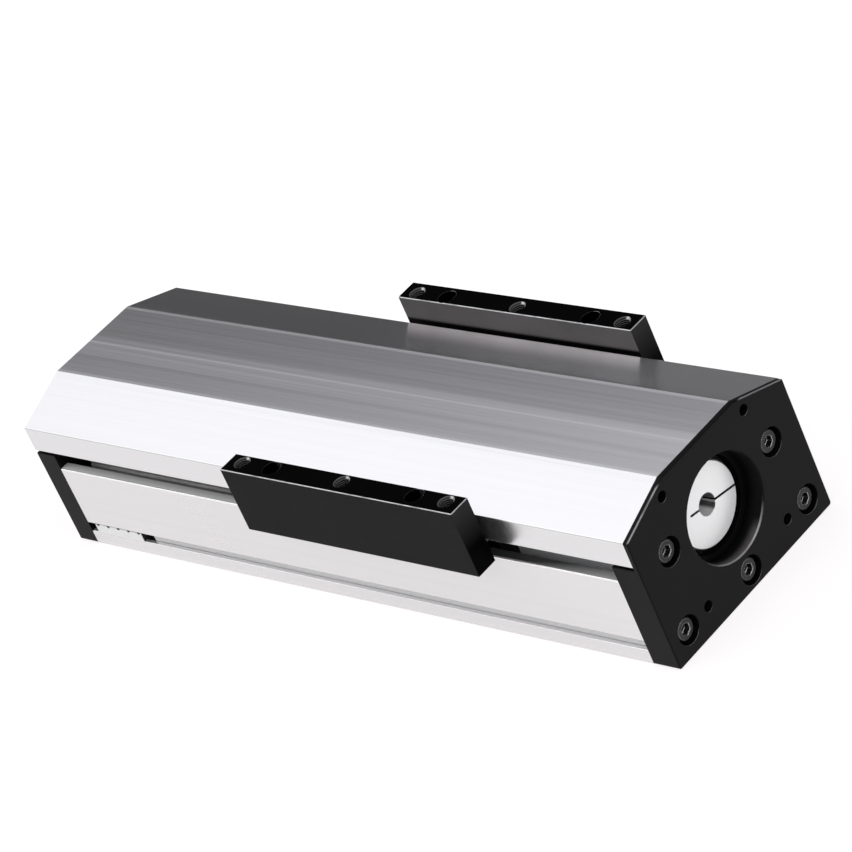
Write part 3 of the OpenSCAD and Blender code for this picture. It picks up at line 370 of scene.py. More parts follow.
# The pale lines, bands and runs below paint highlights and light. The dark ones, with the shares
# on the lips, shoulders and far slope, paint shade. FINE_GRAIN is a random tone.
LIGHT_LINE, LIGHT_LINE_SHARE = (-0.0018, -0.0013, 0.0005), 0.16
CREST, CREST_SHARE = (0.0194, 0.0208, 0.0004), 0.18
PALE_BAND, PALE_RUN = (-0.0092, -0.0010, 0.0008), (-0.12, 0.08, 0.050, 0.012)
IDLE_PALE_RUN = (-0.14, -0.03, 0.022, 0.0)
SLOPE_PALE_RUN = (-0.01, 0.11, 0.0, 0.13)
DARK_LINE, DARK_LINE_SHARE = (-0.0106, -0.0098, 0.0012), 0.10
WIDE_BAND, WIDE_SHARE = (0.0125, 0.0170, 0.0030), 0.05
FINE_GRAIN, FINE_SHARE = (0.35, 0.65), 0.07
SHOULDER, SHOULDER_SHARE = (0.25, 0.82, 0.04), 0.16
LIP_SHARE = 0.08
SLOPE_SHADE_RUN = (-0.04, 0.02, 0.16, 0.0)


def roof_top(tree, height):
    """1 on the flat roof and its two crests, 0 on the slopes and lips."""
    return rising(tree, height, cover_high.z - 0.001, cover_high.z - 0.0006)


def far_slope(tree, across):
    """1 on the slope behind the roof, seen from the front."""
    return rising(tree, across, ROOF_HALF + 0.0004, ROOF_HALF + 0.0010)


def roof_lines(tree, point):
    """Painted highlights: a light line on the roof, and one along each of the two crests.
    Beside the line the skin is paler, most toward the idle end, and so is the far slope
    toward the motor end: painted light."""
    along, across, height = parts_of(tree, point)
    pale_line = product(tree, band(tree, across, *LIGHT_LINE), LIGHT_LINE_SHARE)
    crest = product(tree, band(tree, unsigned(tree, across), *CREST), CREST_SHARE)
    beside = product(tree, band(tree, across, *PALE_BAND), spread(tree, along, *PALE_RUN))
    idle_end = spread(tree, along, *IDLE_PALE_RUN)
    lines = product(tree, total(tree, pale_line, crest, beside, idle_end), roof_top(tree, height))
    slope = product(tree, far_slope(tree, across), spread(tree, along, *SLOPE_PALE_RUN))
    return total(tree, lines, slope)


def roof_streaks_and_shade(tree, point):
    """Painted shade: a dark line beside the middle of the roof and a wide faint band on its
    far half. Finer streaks, which a noise in Y scatters over the rest, are a random tone.
    The lips below the slopes, their shoulders and the idle half of the far slope are a
    little darker too: painted shade."""
    along, across, height = parts_of(tree, point)
    main = product(tree, band(tree, across, *DARK_LINE), DARK_LINE_SHARE)
    wide = product(tree, band(tree, across, *WIDE_BAND), WIDE_SHARE)
    scattered = grain(tree, point, 1500, 2, (0.004, 1, 1))
    fine = spread(tree, scattered, *FINE_GRAIN, 0.0, FINE_SHARE)
    streaks = product(tree, total(tree, main, wide, fine), roof_top(tree, height))
    lip_top = cover_low.z + LIP_HEIGHT
    lips = spread(tree, height, lip_top - 0.0002, lip_top, LIP_SHARE, 0.0)
    shoulder = product(tree, band(tree, facing(tree)[2], *SHOULDER), SHOULDER_SHARE)
    slope = product(tree, far_slope(tree, across), spread(tree, along, *SLOPE_SHADE_RUN))
    return total(tree, streaks, largest(tree, lips, shoulder, slope))


# On the cover, dull_at paints highlights and light, and dark_at paints shade and random streaks.
roof_metal = extruded_aluminium("satin_cover", (0.78, 0.78, 0.785), (0.80, 0.80, 0.805), 0.97,
                                roof_crown, dull_at=roof_lines, dark_at=roof_streaks_and_shade)
print("cover width in mm:", round((cover_high - cover_low).y / MM, 2))

# %% [markdown]
# ## The base's walls and slots
# The tops of the base's side walls lie in the open gap under the cover's lips. Their
# outer edges are painted pale, a painted highlight, and behind those the skin is painted
# darker, a painted shade under the lips that is darkest beside the arm of the parked
# carriage, as its painted shadow and reflection. The slots are painted dark behind their
# lips, a painted shade. A map of this could be baked. Here each place is known by its
# height and by its depth behind the base's outer side, so two numbers are enough to find it.

# %% Painted highlight and shade on the base
base_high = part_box("base_profile")[1]
strip_low, strip_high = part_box("slot_covers")
# The edge share below paints a highlight. The rest paints shade: on the wall tops under the lips,
# beside the parked carriage's arm, and in the slots.
EDGE_WIDTH = (0.0005, 0.0006)
EDGE_SHARE = 0.8
LIP_SHADE_SHARE = 0.22
LIP_SHADE_DEPTH = (0.0006, 0.0038)
ARM_SHADE_FROM = (0.0, 0.05, 0.0, 0.78)
ARM_SHADE_TO = (0.085, 0.150, 1.0, 0.25)
ARM_SHADE_ON_LIP_SHADE = (0.15, 0.20)
DARKEST_SHADE = 0.97
SLOT_DEPTH = (0.0019, 0.0062, 0.0001)


def wall_depth(tree, point):
    """How far a point lies behind the outer side of the base."""
    return less(tree, base_high.y, unsigned(tree, parts_of(tree, point)[1]))


def wall_tops(tree, point):
    """The upper faces of the base's side walls and their outer edges, where the
    anodised skin scatters the light."""
    return rising(tree, parts_of(tree, point)[2], base_high.z - 0.0007, base_high.z - 0.0005)


def wall_edges(tree, point):
    """The outer edges of the side walls' tops, made pale: a painted highlight."""
    edge_sheen = spread(tree, wall_depth(tree, point), *EDGE_WIDTH, EDGE_SHARE, 0.0)
    return product(tree, wall_tops(tree, point), edge_sheen)


def slot_depths(tree, point):
    """The cavities behind the lips of the two side slots, painted dark: a painted shade."""
    low, high = strip_low.z - 0.0004, strip_high.z + 0.0004
    behind = band(tree, wall_depth(tree, point), *SLOT_DEPTH)
    return product(tree, behind, band(tree, parts_of(tree, point)[2], low, high, 0.0001))


def wall_and_slot_shade(tree, point):
    """Painted shade in the cavities of the side slots and on top of the walls, darkest
    under the cover's lips, with a painted shadow and reflection of the carriage's arm where
    it parks."""
    along, _, height = parts_of(tree, point)
    depth = wall_depth(tree, point)
    top = rising(tree, height, base_high.z - 0.0006, base_high.z - 0.0002)
    lip_depth_share = total(tree, spread(tree, depth, *EDGE_WIDTH, 0.0, LIP_SHADE_SHARE),
                      spread(tree, depth, *LIP_SHADE_DEPTH, 0.0, LIP_SHADE_SHARE))
    lip_shade = product(tree, top, lip_depth_share)
    by_arm = product(tree, spread(tree, along, *ARM_SHADE_FROM),
                     spread(tree, along, *ARM_SHADE_TO, smooth=True))
    arm_shade = product(tree, by_arm, rising(tree, lip_shade, *ARM_SHADE_ON_LIP_SHADE))
    lip_shade = calculate(tree, "MINIMUM", total(tree, lip_shade, arm_shade), DARKEST_SHADE)
    return largest(tree, lip_shade, slot_depths(tree, point))


# bright_at paints a highlight on the walls' edges, and dark_at paints shade on the wall tops and
# in the slots.
extrusion = extruded_aluminium("satin_extrusion", (0.75, 0.74, 0.745), (0.78, 0.77, 0.775), 0.72,
                               dull_at=wall_tops, bright_at=wall_edges, dark_at=wall_and_slot_shade, broken=True)
print("the base's walls are", round(base_high.z / MM, 1), "mm high")

# %% [markdown]
# ## Black anodised blocks
# The end blocks and the arms are milled, bead blasted and dyed black. The dye makes
# the body colour nearly black, and the blasted skin spreads what little it reflects,
# so a face that is seen steeply is the darkest and one that is seen at a low angle
# shows the floor faintly. Edges are broken after the dye, and their bare metal catches
# the light. A painted line would be flat. Here the Bevel node gives the normal of a
# rounded edge, and pale bare metal lies only where that normal points between two faces
# and a little upwards, toward the light: in part real bare edges, in part a painted
# highlight.

# %% Black anodised aluminium
BROKEN_EDGE = 0.00035
# The pale colour of the edges is in part a painted highlight.
BARE_EDGE_SHEEN = (0.62, 0.62, 0.63)
BLAST_HEIGHT = 0.000006


def black_anodised(name, gloss, body_dark, body_light, edge_kind, faces):
    """edge_kind takes the rounded normal's X, Y and Z and gives the share of bare metal,
    which is in part a painted highlight. faces gives a factor on the body colour, which
    paints shade and light."""
    material, tree, shader = start_material(name, 0.0, gloss)
    point = place(tree)
    cloud = grain(tree, point, 45, 3)
    blast = grain(tree, point, 3600, 2)
    rounded = rounded_normal(tree, BROKEN_EDGE)
    # The edges' share varies at random, and their pale metal is in part a painted highlight.
    edge_sheen = spread(tree, grain(tree, point, 160, 3), 0.32, 0.52, 0.6, 1.0)
    edge = product(tree, edge_kind(tree, point, *parts_of(tree, rounded)), edge_sheen)
    body = scaled(tree, clouded(tree, cloud, body_dark, body_light), faces(tree, point))
    tree.links.new(edge, shader.inputs["Metallic"])
    roughness = less(tree, from_grain(tree, cloud, 0.42, 0.50), product(tree, edge, 0.1))
    skin = bump(tree, product(tree, blast, BLAST_HEIGHT), rounded)
    finish_shader(tree, shader, tint(tree, edge, body, BARE_EDGE_SHEEN), roughness, skin)
    return material


print("edges are broken by", BROKEN_EDGE / MM, "mm")

# %% [markdown]
# ## The arms
# An arm's top and the walls of its holes are the darkest, a painted shade. Its outer
# side is plain, its ends are darker toward the foot, a painted shade, and the far arm's
# inner side is painted paler, a painted light. Three of its five holes are tapped, one
# in the middle and one near each end, and the crests of a thread with a pitch of 0.8 mm
# show as thin pale rings, a painted highlight. Modelled, they would take more faces than
# the rest of the arm, so a sine along Z draws them.

# %% Where an arm is bare, pale or dark
arm_low, arm_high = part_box("far_carriage_arm")
arm_near, arm_far = arm_low.y, arm_high.y
arm_middle = (arm_low.x + arm_high.x) / 2
FOOT_Z = cover_low.z + LIP_HEIGHT
# These factors paint light and shade on the arms: a paler inner side, darker ends toward the foot,
# the darkest top and holes, and pale thread crests as a painted highlight.
INNER_LIGHT = 5.0
FOOT_LIFT = 5.6
END_SHADES = (0.05, 1.5)
HOLE_AND_TOP_SHADE = 0.03
THREAD_HIGHLIGHT = 7.0
THREAD_PITCH = 0.0008
MIDDLE_HOLE = (0.006, 0.0061)
END_HOLES = (0.044, 0.0441)


def in_the_holes(tree, point, margin, soft):
    """1 more than margin inside an arm's outline as seen from above, which is where
    its holes are."""
    along, across, _ = parts_of(tree, point)
    inward = band(tree, unsigned(tree, across), arm_near + margin, arm_far - margin, soft)
    return product(tree, inward, band(tree, along, arm_low.x + margin, arm_high.x - margin, soft))


def arm_edges(tree, point, x, y, z):
    """Edges between an arm's top and its sides, bare metal that is in part a painted
    highlight. On the rims of its holes only the part that leans toward -X and -Y is bare:
    a painted glint."""
    leaning = product(tree, total(tree, x, y), -math.sqrt(0.5))
    rim = spread(tree, leaning, 0.35, 0.55, 0.06, 1.0)
    share = blend(tree, in_the_holes(tree, point, 0.0006, 0.0002), 1.0, rim)
    return product(tree, band(tree, z, 0.30, 0.88, 0.08), share)


def side_share(tree, across, height):
    """A factor for an arm's long sides: one on the outer ones, and INNER_LIGHT, a painted
    light, on the far arm's inner one, but not on its foot, which the cover shades: there a
    painted shadow. What the cover mirrors of that side is paler toward the foot, a painted
    reflection of the light that the slope throws back on it."""
    off = unsigned(tree, less(tree, across, arm_near))
    inner_face = falling(tree, off, 0.0001, 0.0003)
    shaded = spread(tree, height, FOOT_Z + 0.0002, FOOT_Z + 0.0014, 0.02, 1.0)
    mirrored = spread(tree, height, FOOT_Z + 0.0006, FOOT_Z + 0.0056, FOOT_LIFT, 1.0)
    seen = blend(tree, add(tree, "LightPath").outputs["Is Glossy Ray"], shaded, mirrored)
    grey = spread(tree, inner_face, 0.0, 1.0, 1.0, INNER_LIGHT)
    return product(tree, grey, blend(tree, inner_face, 1.0, seen))


def hole_share(tree, along, height, top):
    """A factor for the holes and the top: HOLE_AND_TOP_SHADE, a painted shade, and up to
    THREAD_HIGHLIGHT, a painted highlight, on the crests in the tapped holes, by the sine of the
    height in turns of the thread."""
    turns = calculate(tree, "SINE", product(tree, height, math.tau / THREAD_PITCH))
    off = unsigned(tree, less(tree, along, arm_middle))
    tapped = largest(tree, falling(tree, off, *MIDDLE_HOLE), rising(tree, off, *END_HOLES))
    crests = spread(tree, turns, 0.0, 0.8, HOLE_AND_TOP_SHADE, THREAD_HIGHLIGHT, smooth=True)
    ridge = product(tree, crests, less(tree, 1.0, top))
    return largest(tree, product(tree, tapped, ridge), HOLE_AND_TOP_SHADE)


def arm_faces(tree, point):
    """A factor on the body colour, for the top and holes, the ends, and the sides: painted
    shade and light.
    """
    along, across, height = parts_of(tree, point)
    normal = facing(tree)
    top = rising(tree, normal[2], 0.5, 0.9)
    hidden = largest(tree, in_the_holes(tree, point, 0.0004, 0.0001), top)
    end = rising(tree, unsigned(tree, normal[0]), 0.6, 0.9)
    fading = spread(tree, height, arm_low.z + 0.011, arm_high.z, *END_SHADES)
    sides = blend(tree, end, side_share(tree, across, height), fading)
    return blend(tree, hidden, sides, hole_share(tree, along, height, top))


arm_black = black_anodised("black_arms", 0.02, (0.0185, 0.0177, 0.0180), (0.0235, 0.0222, 0.0226),
                           arm_edges, arm_faces)
print("an arm is", round((arm_high - arm_low).x / MM, 1), "mm long")

# %% [markdown]
# ## The end blocks
# A block's outer edges and the lower rims of its holes are bare metal, pale where they
# lean up toward the light: in part a painted highlight. The wall of the motor bore is
# painted pale at the bottom of its mouth, a painted reflection of the coupling, and
# darker elsewhere, a painted shade. Both are found by simple geometry: the outer face by
# its X, and the bore's wall by its distance from the screw's axis.

# %% Where an end block is bare or pale
axis_z = (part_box("ball_screw")[0].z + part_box("ball_screw")[1].z) / 2
END_FACE_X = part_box("motor_end_block")[1].x
BORE_R = 0.0193
# The bore's wall is painted darker, a painted shade, and pale at the bottom of its mouth, a
# painted reflection.
BORE_WALL_SHADE = 0.3
MOUTH_REFLECTION = 34.0


def from_axis(tree, point):
    """A point's Y and Z from the screw's axis, and its distance from it."""
    _, across, height = parts_of(tree, point)
    rise = less(tree, height, axis_z)
    squares = [product(tree, part, part) for part in (across, rise)]
    return across, rise, calculate(tree, "SQRT", total(tree, *squares))


def block_edges(tree, point, x, y, z):
    """Edges round an end block's outer face that lean upwards, such as the lower rims of its
    holes: bare metal, in part a painted highlight. The bore's inner edges and the edge
    along the roof stay black."""
    along, _, height = parts_of(tree, point)
    leaning = band(tree, unsigned(tree, x), 0.30, 0.92, 0.06)
    raised = spread(tree, z, 0.35, 0.6, 0.0, 0.4)
    outside = rising(tree, unsigned(tree, along), END_FACE_X - 0.0012, END_FACE_X - 0.0008)
    below_roof = falling(tree, height, cover_high.z - 0.0016, cover_high.z - 0.0010)
    return product(tree, leaning, raised, outside, below_roof)


def block_faces(tree, point):
    """A factor on the body colour: the bottom of the motor bore's wall is pale near its
    mouth, a painted reflection of the coupling, and the rest of the wall is darker, a
    painted shade."""
    along = parts_of(tree, point)[0]
    _, rise, radius = from_axis(tree, point)
    wall = band(tree, radius, BORE_R - 0.0003, BORE_R + 0.0005, 0.0001)
    inside = band(tree, along, END_FACE_X - 0.0125, END_FACE_X - 0.0002, 0.0001)
    bottom = falling(tree, rise, -0.93 * BORE_R, -0.72 * BORE_R, smooth=True)
    mouth = rising(tree, along, END_FACE_X - 0.0045, END_FACE_X - 0.0005, smooth=True)
    pale = product(tree, bottom, mouth, MOUTH_REFLECTION)
    return blend(tree, product(tree, wall, inside), 1.0, total(tree, pale, BORE_WALL_SHADE))


black = black_anodised("black_anodised", 0.12, (0.0022, 0.0020, 0.0020), (0.0036, 0.0033, 0.0034),
                       block_edges, block_faces)
print("screw axis at", round(axis_z / MM, 2), "mm")

# %% [markdown]
# ## Turned coupling hubs
# A lathe leaves fine rings on a face and bands on a barrel. Both are a noise of one
# number: the distance from the axis for the face, and the place along the axis for
# the barrel. Their sum works on either, because on each of them the other is constant.
# The motor hub's bore is reamed, and its grey goes by the angle round the axis: a
# painted reflection, with painted shade and one painted highlight line. The barrel and
# the slit take a darker grey, which in the slit is a painted shade.

# %% Turned metals
HUB_BORE_R = 0.0043
# A darker grey for the barrel paints the shade in the slit, and the bore's far side and line are
# painted shade and a painted highlight.
HUB_BARREL_SHADE = (0.42, 0.42, 0.43)
RINGS_PER_METRE = 5200.0
FAR_SIDE_SHADE = 0.14
BORE_LIGHT_LINE, BORE_LIGHT_SHARE = (-0.40, -0.30, 0.07), 0.55


def bore_shade(tree, y, z, radius):
    """A factor on the colour of the motor hub's bore, by the angle round the axis from
    +Y toward +Z: full at the bottom, darker on the far side, with one bright line along
    it. It is a painted reflection, with painted shade on the far side and a painted
    highlight in the line."""
    angle = calculate(tree, "ARCTAN2", z, y)
    wall = spread(tree, angle, -1.15, -0.80, 1.0, FAR_SIDE_SHADE, smooth=True)
    line = product(tree, band(tree, angle, *BORE_LIGHT_LINE), BORE_LIGHT_SHARE)
    inside = falling(tree, radius, HUB_BORE_R - 0.0001, HUB_BORE_R)
    return blend(tree, inside, 1.0, total(tree, wall, line))


def turned_metal(name, dark, light, low, high, ring, face_metal=1.0):
    """low and high bound the roughness, and ring is the rings' height. face_metal is
    the metallic share on faces square to the axis and in the bore, where a fine lathe
    finish scatters more than on a barrel or in a slit. When face_metal is below one, the
    colour off those faces is HUB_BARREL_SHADE, a darker grey that paints the shade in the slit."""
    material, tree, shader = start_material(name, 1.0)
    point = place(tree)
    y, z, radius = from_axis(tree, point)
    turn = product(tree, total(tree, radius, parts_of(tree, point)[0]), RINGS_PER_METRE)
    rings = add(tree, "TexNoise", {"W": turn, "Scale": 1.0, "Detail": 2.0},
                noise_dimensions="1D").outputs[0]
    colour = clouded(tree, grain(tree, point, 120, 3), dark, light)
    if face_metal < 1.0:
        square = rising(tree, unsigned(tree, facing(tree)[0]), 0.6, 0.9)
        face = largest(tree, square, falling(tree, radius, HUB_BORE_R, HUB_BORE_R + 0.0001))
        tree.links.new(spread(tree, face, 0.0, 1.0, 1.0, face_metal), shader.inputs["Metallic"])
        colour = scaled(tree, tint(tree, face, HUB_BARREL_SHADE, colour), bore_shade(tree, y, z, radius))
    roughness = from_grain(tree, rings, low, high)
    finish_shader(tree, shader, colour, roughness, bump(tree, product(tree, rings, ring)))
    return material


coupling_metal = turned_metal("coupling_aluminium", (0.965, 0.965, 0.97), (0.985, 0.985, 0.985),
                              0.28, 0.34, 0.0000004, face_metal=0.3)
thread_steel = turned_metal("screw_steel", (0.50, 0.50, 0.51), (0.60, 0.60, 0.61),
                            0.16, 0.28, 0.000002)
bearing_steel = turned_metal("bearing_steel", (0.62, 0.62, 0.63), (0.70, 0.70, 0.71),
                             0.10, 0.20, 0.000001)
print("the lathe's rings lie about", round(1 / RINGS_PER_METRE / MM, 2), "mm apart")

# %% [markdown]
# ## Milled aluminium and ground steel
# The saddle and the bearing housing are milled, which leaves overlapping arcs. The
# guide rails and blocks are ground along their length. A noise stretched one way
# gives the grinding, and bands bent by a second noise give the milling. The rails
# carry a film of grease, which dulls them, and are darker past the middle, toward the
# motor end.

# %% Milled and ground metals
OUTER_SIDE, OUTER_METAL = (0.030, 0.031), 0.4
MILLED_HEIGHT = 0.000006
GROUND_HEIGHT = 0.000005
ALONG_RAIL = (0.02, 1, 1)
MOTOR_HALF_RUN = (0.0, 0.05)


def milled_metal(name, dark, light):
    """The outer sides, more than 30 mm off the middle, are duller than the rest."""
    material, tree, shader = start_material(name, 1.0)
    point = place(tree)
    aside = unsigned(tree, parts_of(tree, point)[1])
    tree.links.new(spread(tree, aside, *OUTER_SIDE, 1.0, OUTER_METAL), shader.inputs["Metallic"])
    bend = grain(tree, point, 30, 2)
    values = {"Vector": point, "Scale": 160.0, "Distortion": 6.0, "Detail": 2.0,
              "Detail Scale": 0.4, "Phase Offset": bend}
    bands = add(tree, "TexWave", values, wave_type="RINGS").outputs[1]
    roughness = spread(tree, bands, 0.0, 1.0, 0.28, 0.40)
    arcs = bump(tree, product(tree, bands, MILLED_HEIGHT))
    finish_shader(tree, shader, clouded(tree, bend, dark, light), roughness, arcs)
    return material


def ground_metal(name, dark, light, metallic=1.0, low=0.20, high=0.34, motor_half=1.0):
    """low and high bound the roughness. oily is a factor on the colour past the middle,
    toward the motor end."""
    material, tree, shader = start_material(name, metallic)
    point = place(tree)
    scratch = grain(tree, point, 3000, 3, ALONG_RAIL)
    colour = clouded(tree, grain(tree, point, 60, 3), dark, light)
    if motor_half < 1.0:
        colour = scaled(tree, colour, spread(tree, parts_of(tree, point)[0], *MOTOR_HALF_RUN, 1.0, motor_half))
    roughness = from_grain(tree, scratch, low, high)
    marks = bump(tree, product(tree, scratch, GROUND_HEIGHT))
    finish_shader(tree, shader, colour, roughness, marks)
    return material


milled = milled_metal("machined_aluminium", (0.66, 0.67, 0.68), (0.76, 0.77, 0.77))
ground = ground_metal("guide_steel", (0.045, 0.045, 0.05), (0.07, 0.07, 0.075))
rail_steel = ground_metal("greased_rail", (0.58, 0.58, 0.58), (0.66, 0.66, 0.66), 0.25, 0.46, 0.56,
                          motor_half=0.10)
print("milled and ground:", milled.name, ground.name, rail_steel.name)

# %% [markdown]
# ## Black oxide screws
# Socket head screws are dipped in a hot salt bath that turns the steel black. The
# skin is thin and slightly oily, so it shines more than the anodised blocks, and its
# worn edges show a little steel, which also gives a painted highlight round the heads.
# An edge is where the rounded normal leaves the face's own direction, and the cosine
# between the two says by how much.

# %% Black oxide steel
HEAD_EDGE = 0.0006
EDGE_BEND = (0.02, 0.22)
OXIDE_DARK, OXIDE_LIGHT = (0.008, 0.008, 0.008), (0.016, 0.016, 0.015)
# The steel of the edges is in part a painted highlight.
WORN_STEEL_SHEEN = (0.55, 0.545, 0.54)


def edge_wear_and_sheen(tree, rounded):
    """1 along edges and 0 on flat faces: the share by which a rounded normal leaves
    the true one."""
    true = add(tree, "NewGeometry").outputs["True Normal"]
    dot = add(tree, "VectorMath", {0: rounded, 1: true}, operation="DOT_PRODUCT")
    return rising(tree, less(tree, 1.0, dot.outputs["Value"]), *EDGE_BEND)


def black_oxide(name):
    """Nearly black skin, with steel in its worn edges, in part a painted highlight."""
    material, tree, shader = start_material(name, 0.0)
    point = place(tree)
    cloud = grain(tree, point, 400, 3)
    rounded = rounded_normal(tree, HEAD_EDGE)
    edge = edge_wear_and_sheen(tree, rounded)
    colour = tint(tree, edge, clouded(tree, cloud, OXIDE_DARK, OXIDE_LIGHT), WORN_STEEL_SHEEN)
    tree.links.new(spread(tree, edge, 0.0, 1.0, 0.3, 0.9), shader.inputs["Metallic"])
    skin = bump(tree, product(tree, grain(tree, point, 5000, 2), 0.000004), rounded)
    finish_shader(tree, shader, colour, from_grain(tree, cloud, 0.26, 0.36), skin)
    return material


screw_black = black_oxide("black_screw_steel")
print("screw finish ready:", screw_black.name)

# %% [markdown]
# ## Rubber, elastomer and moulded plastic
# These three scatter light under a slightly uneven skin. One recipe serves them all:
# a soft cloud in the colour, and a fine grain in the height. Only the numbers differ.

# %% Moulded materials
def moulded(name, dark, light, low, high, grain_height, specular=0.5, skin_y=None):
    """low and high bound the roughness. skin_y is where the outer face lies: what is
    sunk behind it is painted dark, a painted shade."""
    material, tree, shader = start_material(name, 0.0, specular)
    point = place(tree)
    skin = grain(tree, point, 2800, 3)
    colour = clouded(tree, grain(tree, point, 180, 3), dark, light)
    if skin_y is not None:
        sunk = rising(tree, parts_of(tree, point)[1], skin_y + 0.0001, skin_y + 0.0003)
        colour = tint(tree, sunk, colour, NEAR_BLACK)
    roughness = from_grain(tree, skin, low, high)
    finish_shader(tree, shader, colour, roughness, bump(tree, product(tree, skin, grain_height)))
    return material


rubber = moulded("stop_rubber", (0.018, 0.018, 0.018), (0.032, 0.032, 0.031),
                 0.62, 0.78, 0.00003, specular=0.3)
elastomer = moulded("star_elastomer", (0.03, 0.03, 0.034), (0.045, 0.045, 0.05),
                    0.42, 0.55, 0.000012)
plastic = moulded("sensor_plastic", (0.93, 0.93, 0.92), (0.97, 0.97, 0.965),
                  0.36, 0.46, 0.000005, skin_y=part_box("slot_sensor")[0].y)
print("moulded:", rubber.name, elastomer.name, plastic.name)

# %% [markdown]
# ## Giving every node its finish
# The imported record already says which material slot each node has. So one table from
# slot to finish is nearly enough. Only the cover, the slot strips, the two arms and the
# two guide rails have their own, a closer kind of the same finish.

# %% Assign the finishes
FINISH = {
    "satin_extrusion": extrusion,
    "black_anodised": black,
    "machined_aluminium": milled,
    "coupling_aluminium": coupling_metal,
    "black_screw_steel": screw_black,
    "guide_steel": ground,
    "screw_steel": thread_steel,
    "bearing_steel": bearing_steel,
    "stop_rubber": rubber,
    "star_elastomer": elastomer,
    "sensor_plastic": plastic,
}
OWN_FINISH = {
    "top_cover": roof_metal,
    "slot_covers": strip_metal,
    "near_carriage_arm": arm_black,
    "far_carriage_arm": arm_black,
    "near_guide_rail": rail_steel,
    "far_guide_rail": rail_steel,
}
slot_of = {part["node"]: part["material_slot"] for part in frame["record"]["subparts"]}
for node, piece in frame["nodes"].items():
    piece.data.materials.clear()
    piece.data.materials.append(OWN_FINISH.get(node, FINISH[slot_of[node]]))
print("finishes given to", len(slot_of), "nodes")

# %% [markdown]
# ## The ball screw's thread
# In the CAD model the screw is a plain round bar. The real one has a rounded groove
# that winds along it, one turn every 10 mm, in which the balls roll. The surface is a
# function of two parameters, the place along the axis and the angle about it, so it
# is worked out as one numpy grid, and the groove is only a radius that depends on both.

# %% Mesh from a grid
def grid_mesh(name, rings):
    """rings is an array of rows x points x 3. Each row is a closed ring. Neighbouring
    rings are joined by quads, and the first and last ring are capped."""
    rows, count = rings.shape[:2]
    i, j = np.meshgrid(np.arange(rows - 1), np.arange(count), indexing="ij")
    a = i * count + j
    b = i * count + (j + 1) % count
    faces = np.stack([a, b, b + count, a + count], -1).reshape(-1, 4).tolist()
    faces.append(list(range(count - 1, -1, -1)))
    faces.append(list(range((rows - 1) * count, rows * count)))
    mesh = bpy.data.meshes.new(name)
    mesh.from_pydata(rings.reshape(-1, 3).tolist(), [], faces)
    mesh.update()
    return put_in_scene(name, mesh)


def about_axis(x, radius, angle):
    """Points (x, r cos a, axis + r sin a). The angle goes from +Y to +Z, so that the
    rings' faces point outwards."""
    return np.stack([x + 0 * angle, radius * np.cos(angle), axis_z + radius * np.sin(angle)], -1)


print("grid helpers ready")

# %% [markdown]
# The screw's outline is a list of turning steps: the places where the lathe tool
# changed diameter. Between the two ends of the thread the rings lie 0.4 mm apart. The
# groove's centre moves one lead along for each turn, so the distance d from it is the
# place along the axis less the lead times the angle in turns, brought into half a lead
# to each side. A ball of radius b then cuts the depth sqrt(b * b - d * d) less a margin.

# %% The threaded screw
SCREW_R = 0.006
LEAD = 0.010
GROOVE_R = 0.0014
GROOVE_MARGIN = 0.0005
RUN_OUT = 0.002
RING_STEP = 0.0004
RING_POINTS = 64
SHARP_ANGLE = math.radians(35)
screw_low, screw_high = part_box("ball_screw")
IDLE_STEPS = [(0.0, 3.6), (0.4, 4.0), (0.4, 3.6), (1.3, 3.6), (1.3, 4.0), (8.3, 4.0),
              (8.3, 5.0), (9.3, 6.0)]
DRIVE_STEPS = [(40.0, 6.0), (39.2, 5.2), (39.2, 5.0), (13.7, 5.0), (13.2, 4.5), (13.2, 4.0),
               (0.5, 4.0), (0.0, 3.5)]


def threaded_screw():
    """The radius is SCREW_R - fade * max(0, sqrt(b^2 - d^2) - margin), with
    d = x - lead * turns, wrapped into half a lead. fade falls to 0 within RUN_OUT of
    the thread's ends."""
    idle = np.array([(screw_low.x + x * MM, r * MM) for x, r in IDLE_STEPS])
    drive = np.array([(screw_high.x - x * MM, r * MM) for x, r in DRIVE_STEPS])
    start, stop = idle[-1, 0], drive[0, 0]
    thread = np.arange(start + RING_STEP, stop - RING_STEP / 2, RING_STEP)
    middle = np.stack([thread, np.full(len(thread), SCREW_R)], -1)
    outline = np.concatenate([idle, middle, drive])
    turns = np.arange(RING_POINTS)[None, :] / RING_POINTS
    x = outline[:, 0:1]
    d = (x - LEAD * turns + LEAD / 2) % LEAD - LEAD / 2
    depth = np.maximum(0, np.sqrt(np.maximum(0, GROOVE_R ** 2 - d ** 2)) - GROOVE_MARGIN)
    fade = np.clip(np.minimum(x - start, stop - x) / RUN_OUT, 0, 1)
    return about_axis(x, outline[:, 1:2] - fade * depth, 2 * math.pi * turns)


screw = grid_mesh("threaded_ball_screw", threaded_screw())
screw.data.shade_smooth()
screw.data.set_sharp_from_angle(angle=SHARP_ANGLE)
screw.data.materials.append(thread_steel)
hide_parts("ball_screw")
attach(screw, "screw")
print("screw faces:", len(screw.data.polygons))

# %% [markdown]
# ## Floor
# The floor is plain pale paper. Lit by the lamps alone it would come out grey, so it
# glows a little for the camera, and for the metals that mirror it, on top of a dim
# paper that still darkens where the module shades it. In what the metals mirror, the
# glow ends behind the module, so that its far side has something dark to show. All
# other rays meet a plain paper, so the glow doesn't light the module from below.

# %% Make the floor
FLOOR_HALF = 20.0
FLOOR_DROP = 0.0002
FLOOR_FADE = (0.10, 0.45)
FLOOR_GLOW = 0.80
GLOW_COLOUR = (1, 0.975, 0.98, 1)
PAPER = (0.80, 0.80, 0.80, 1)
DIM_PAPER = (0.30, 0.30, 0.30, 1)


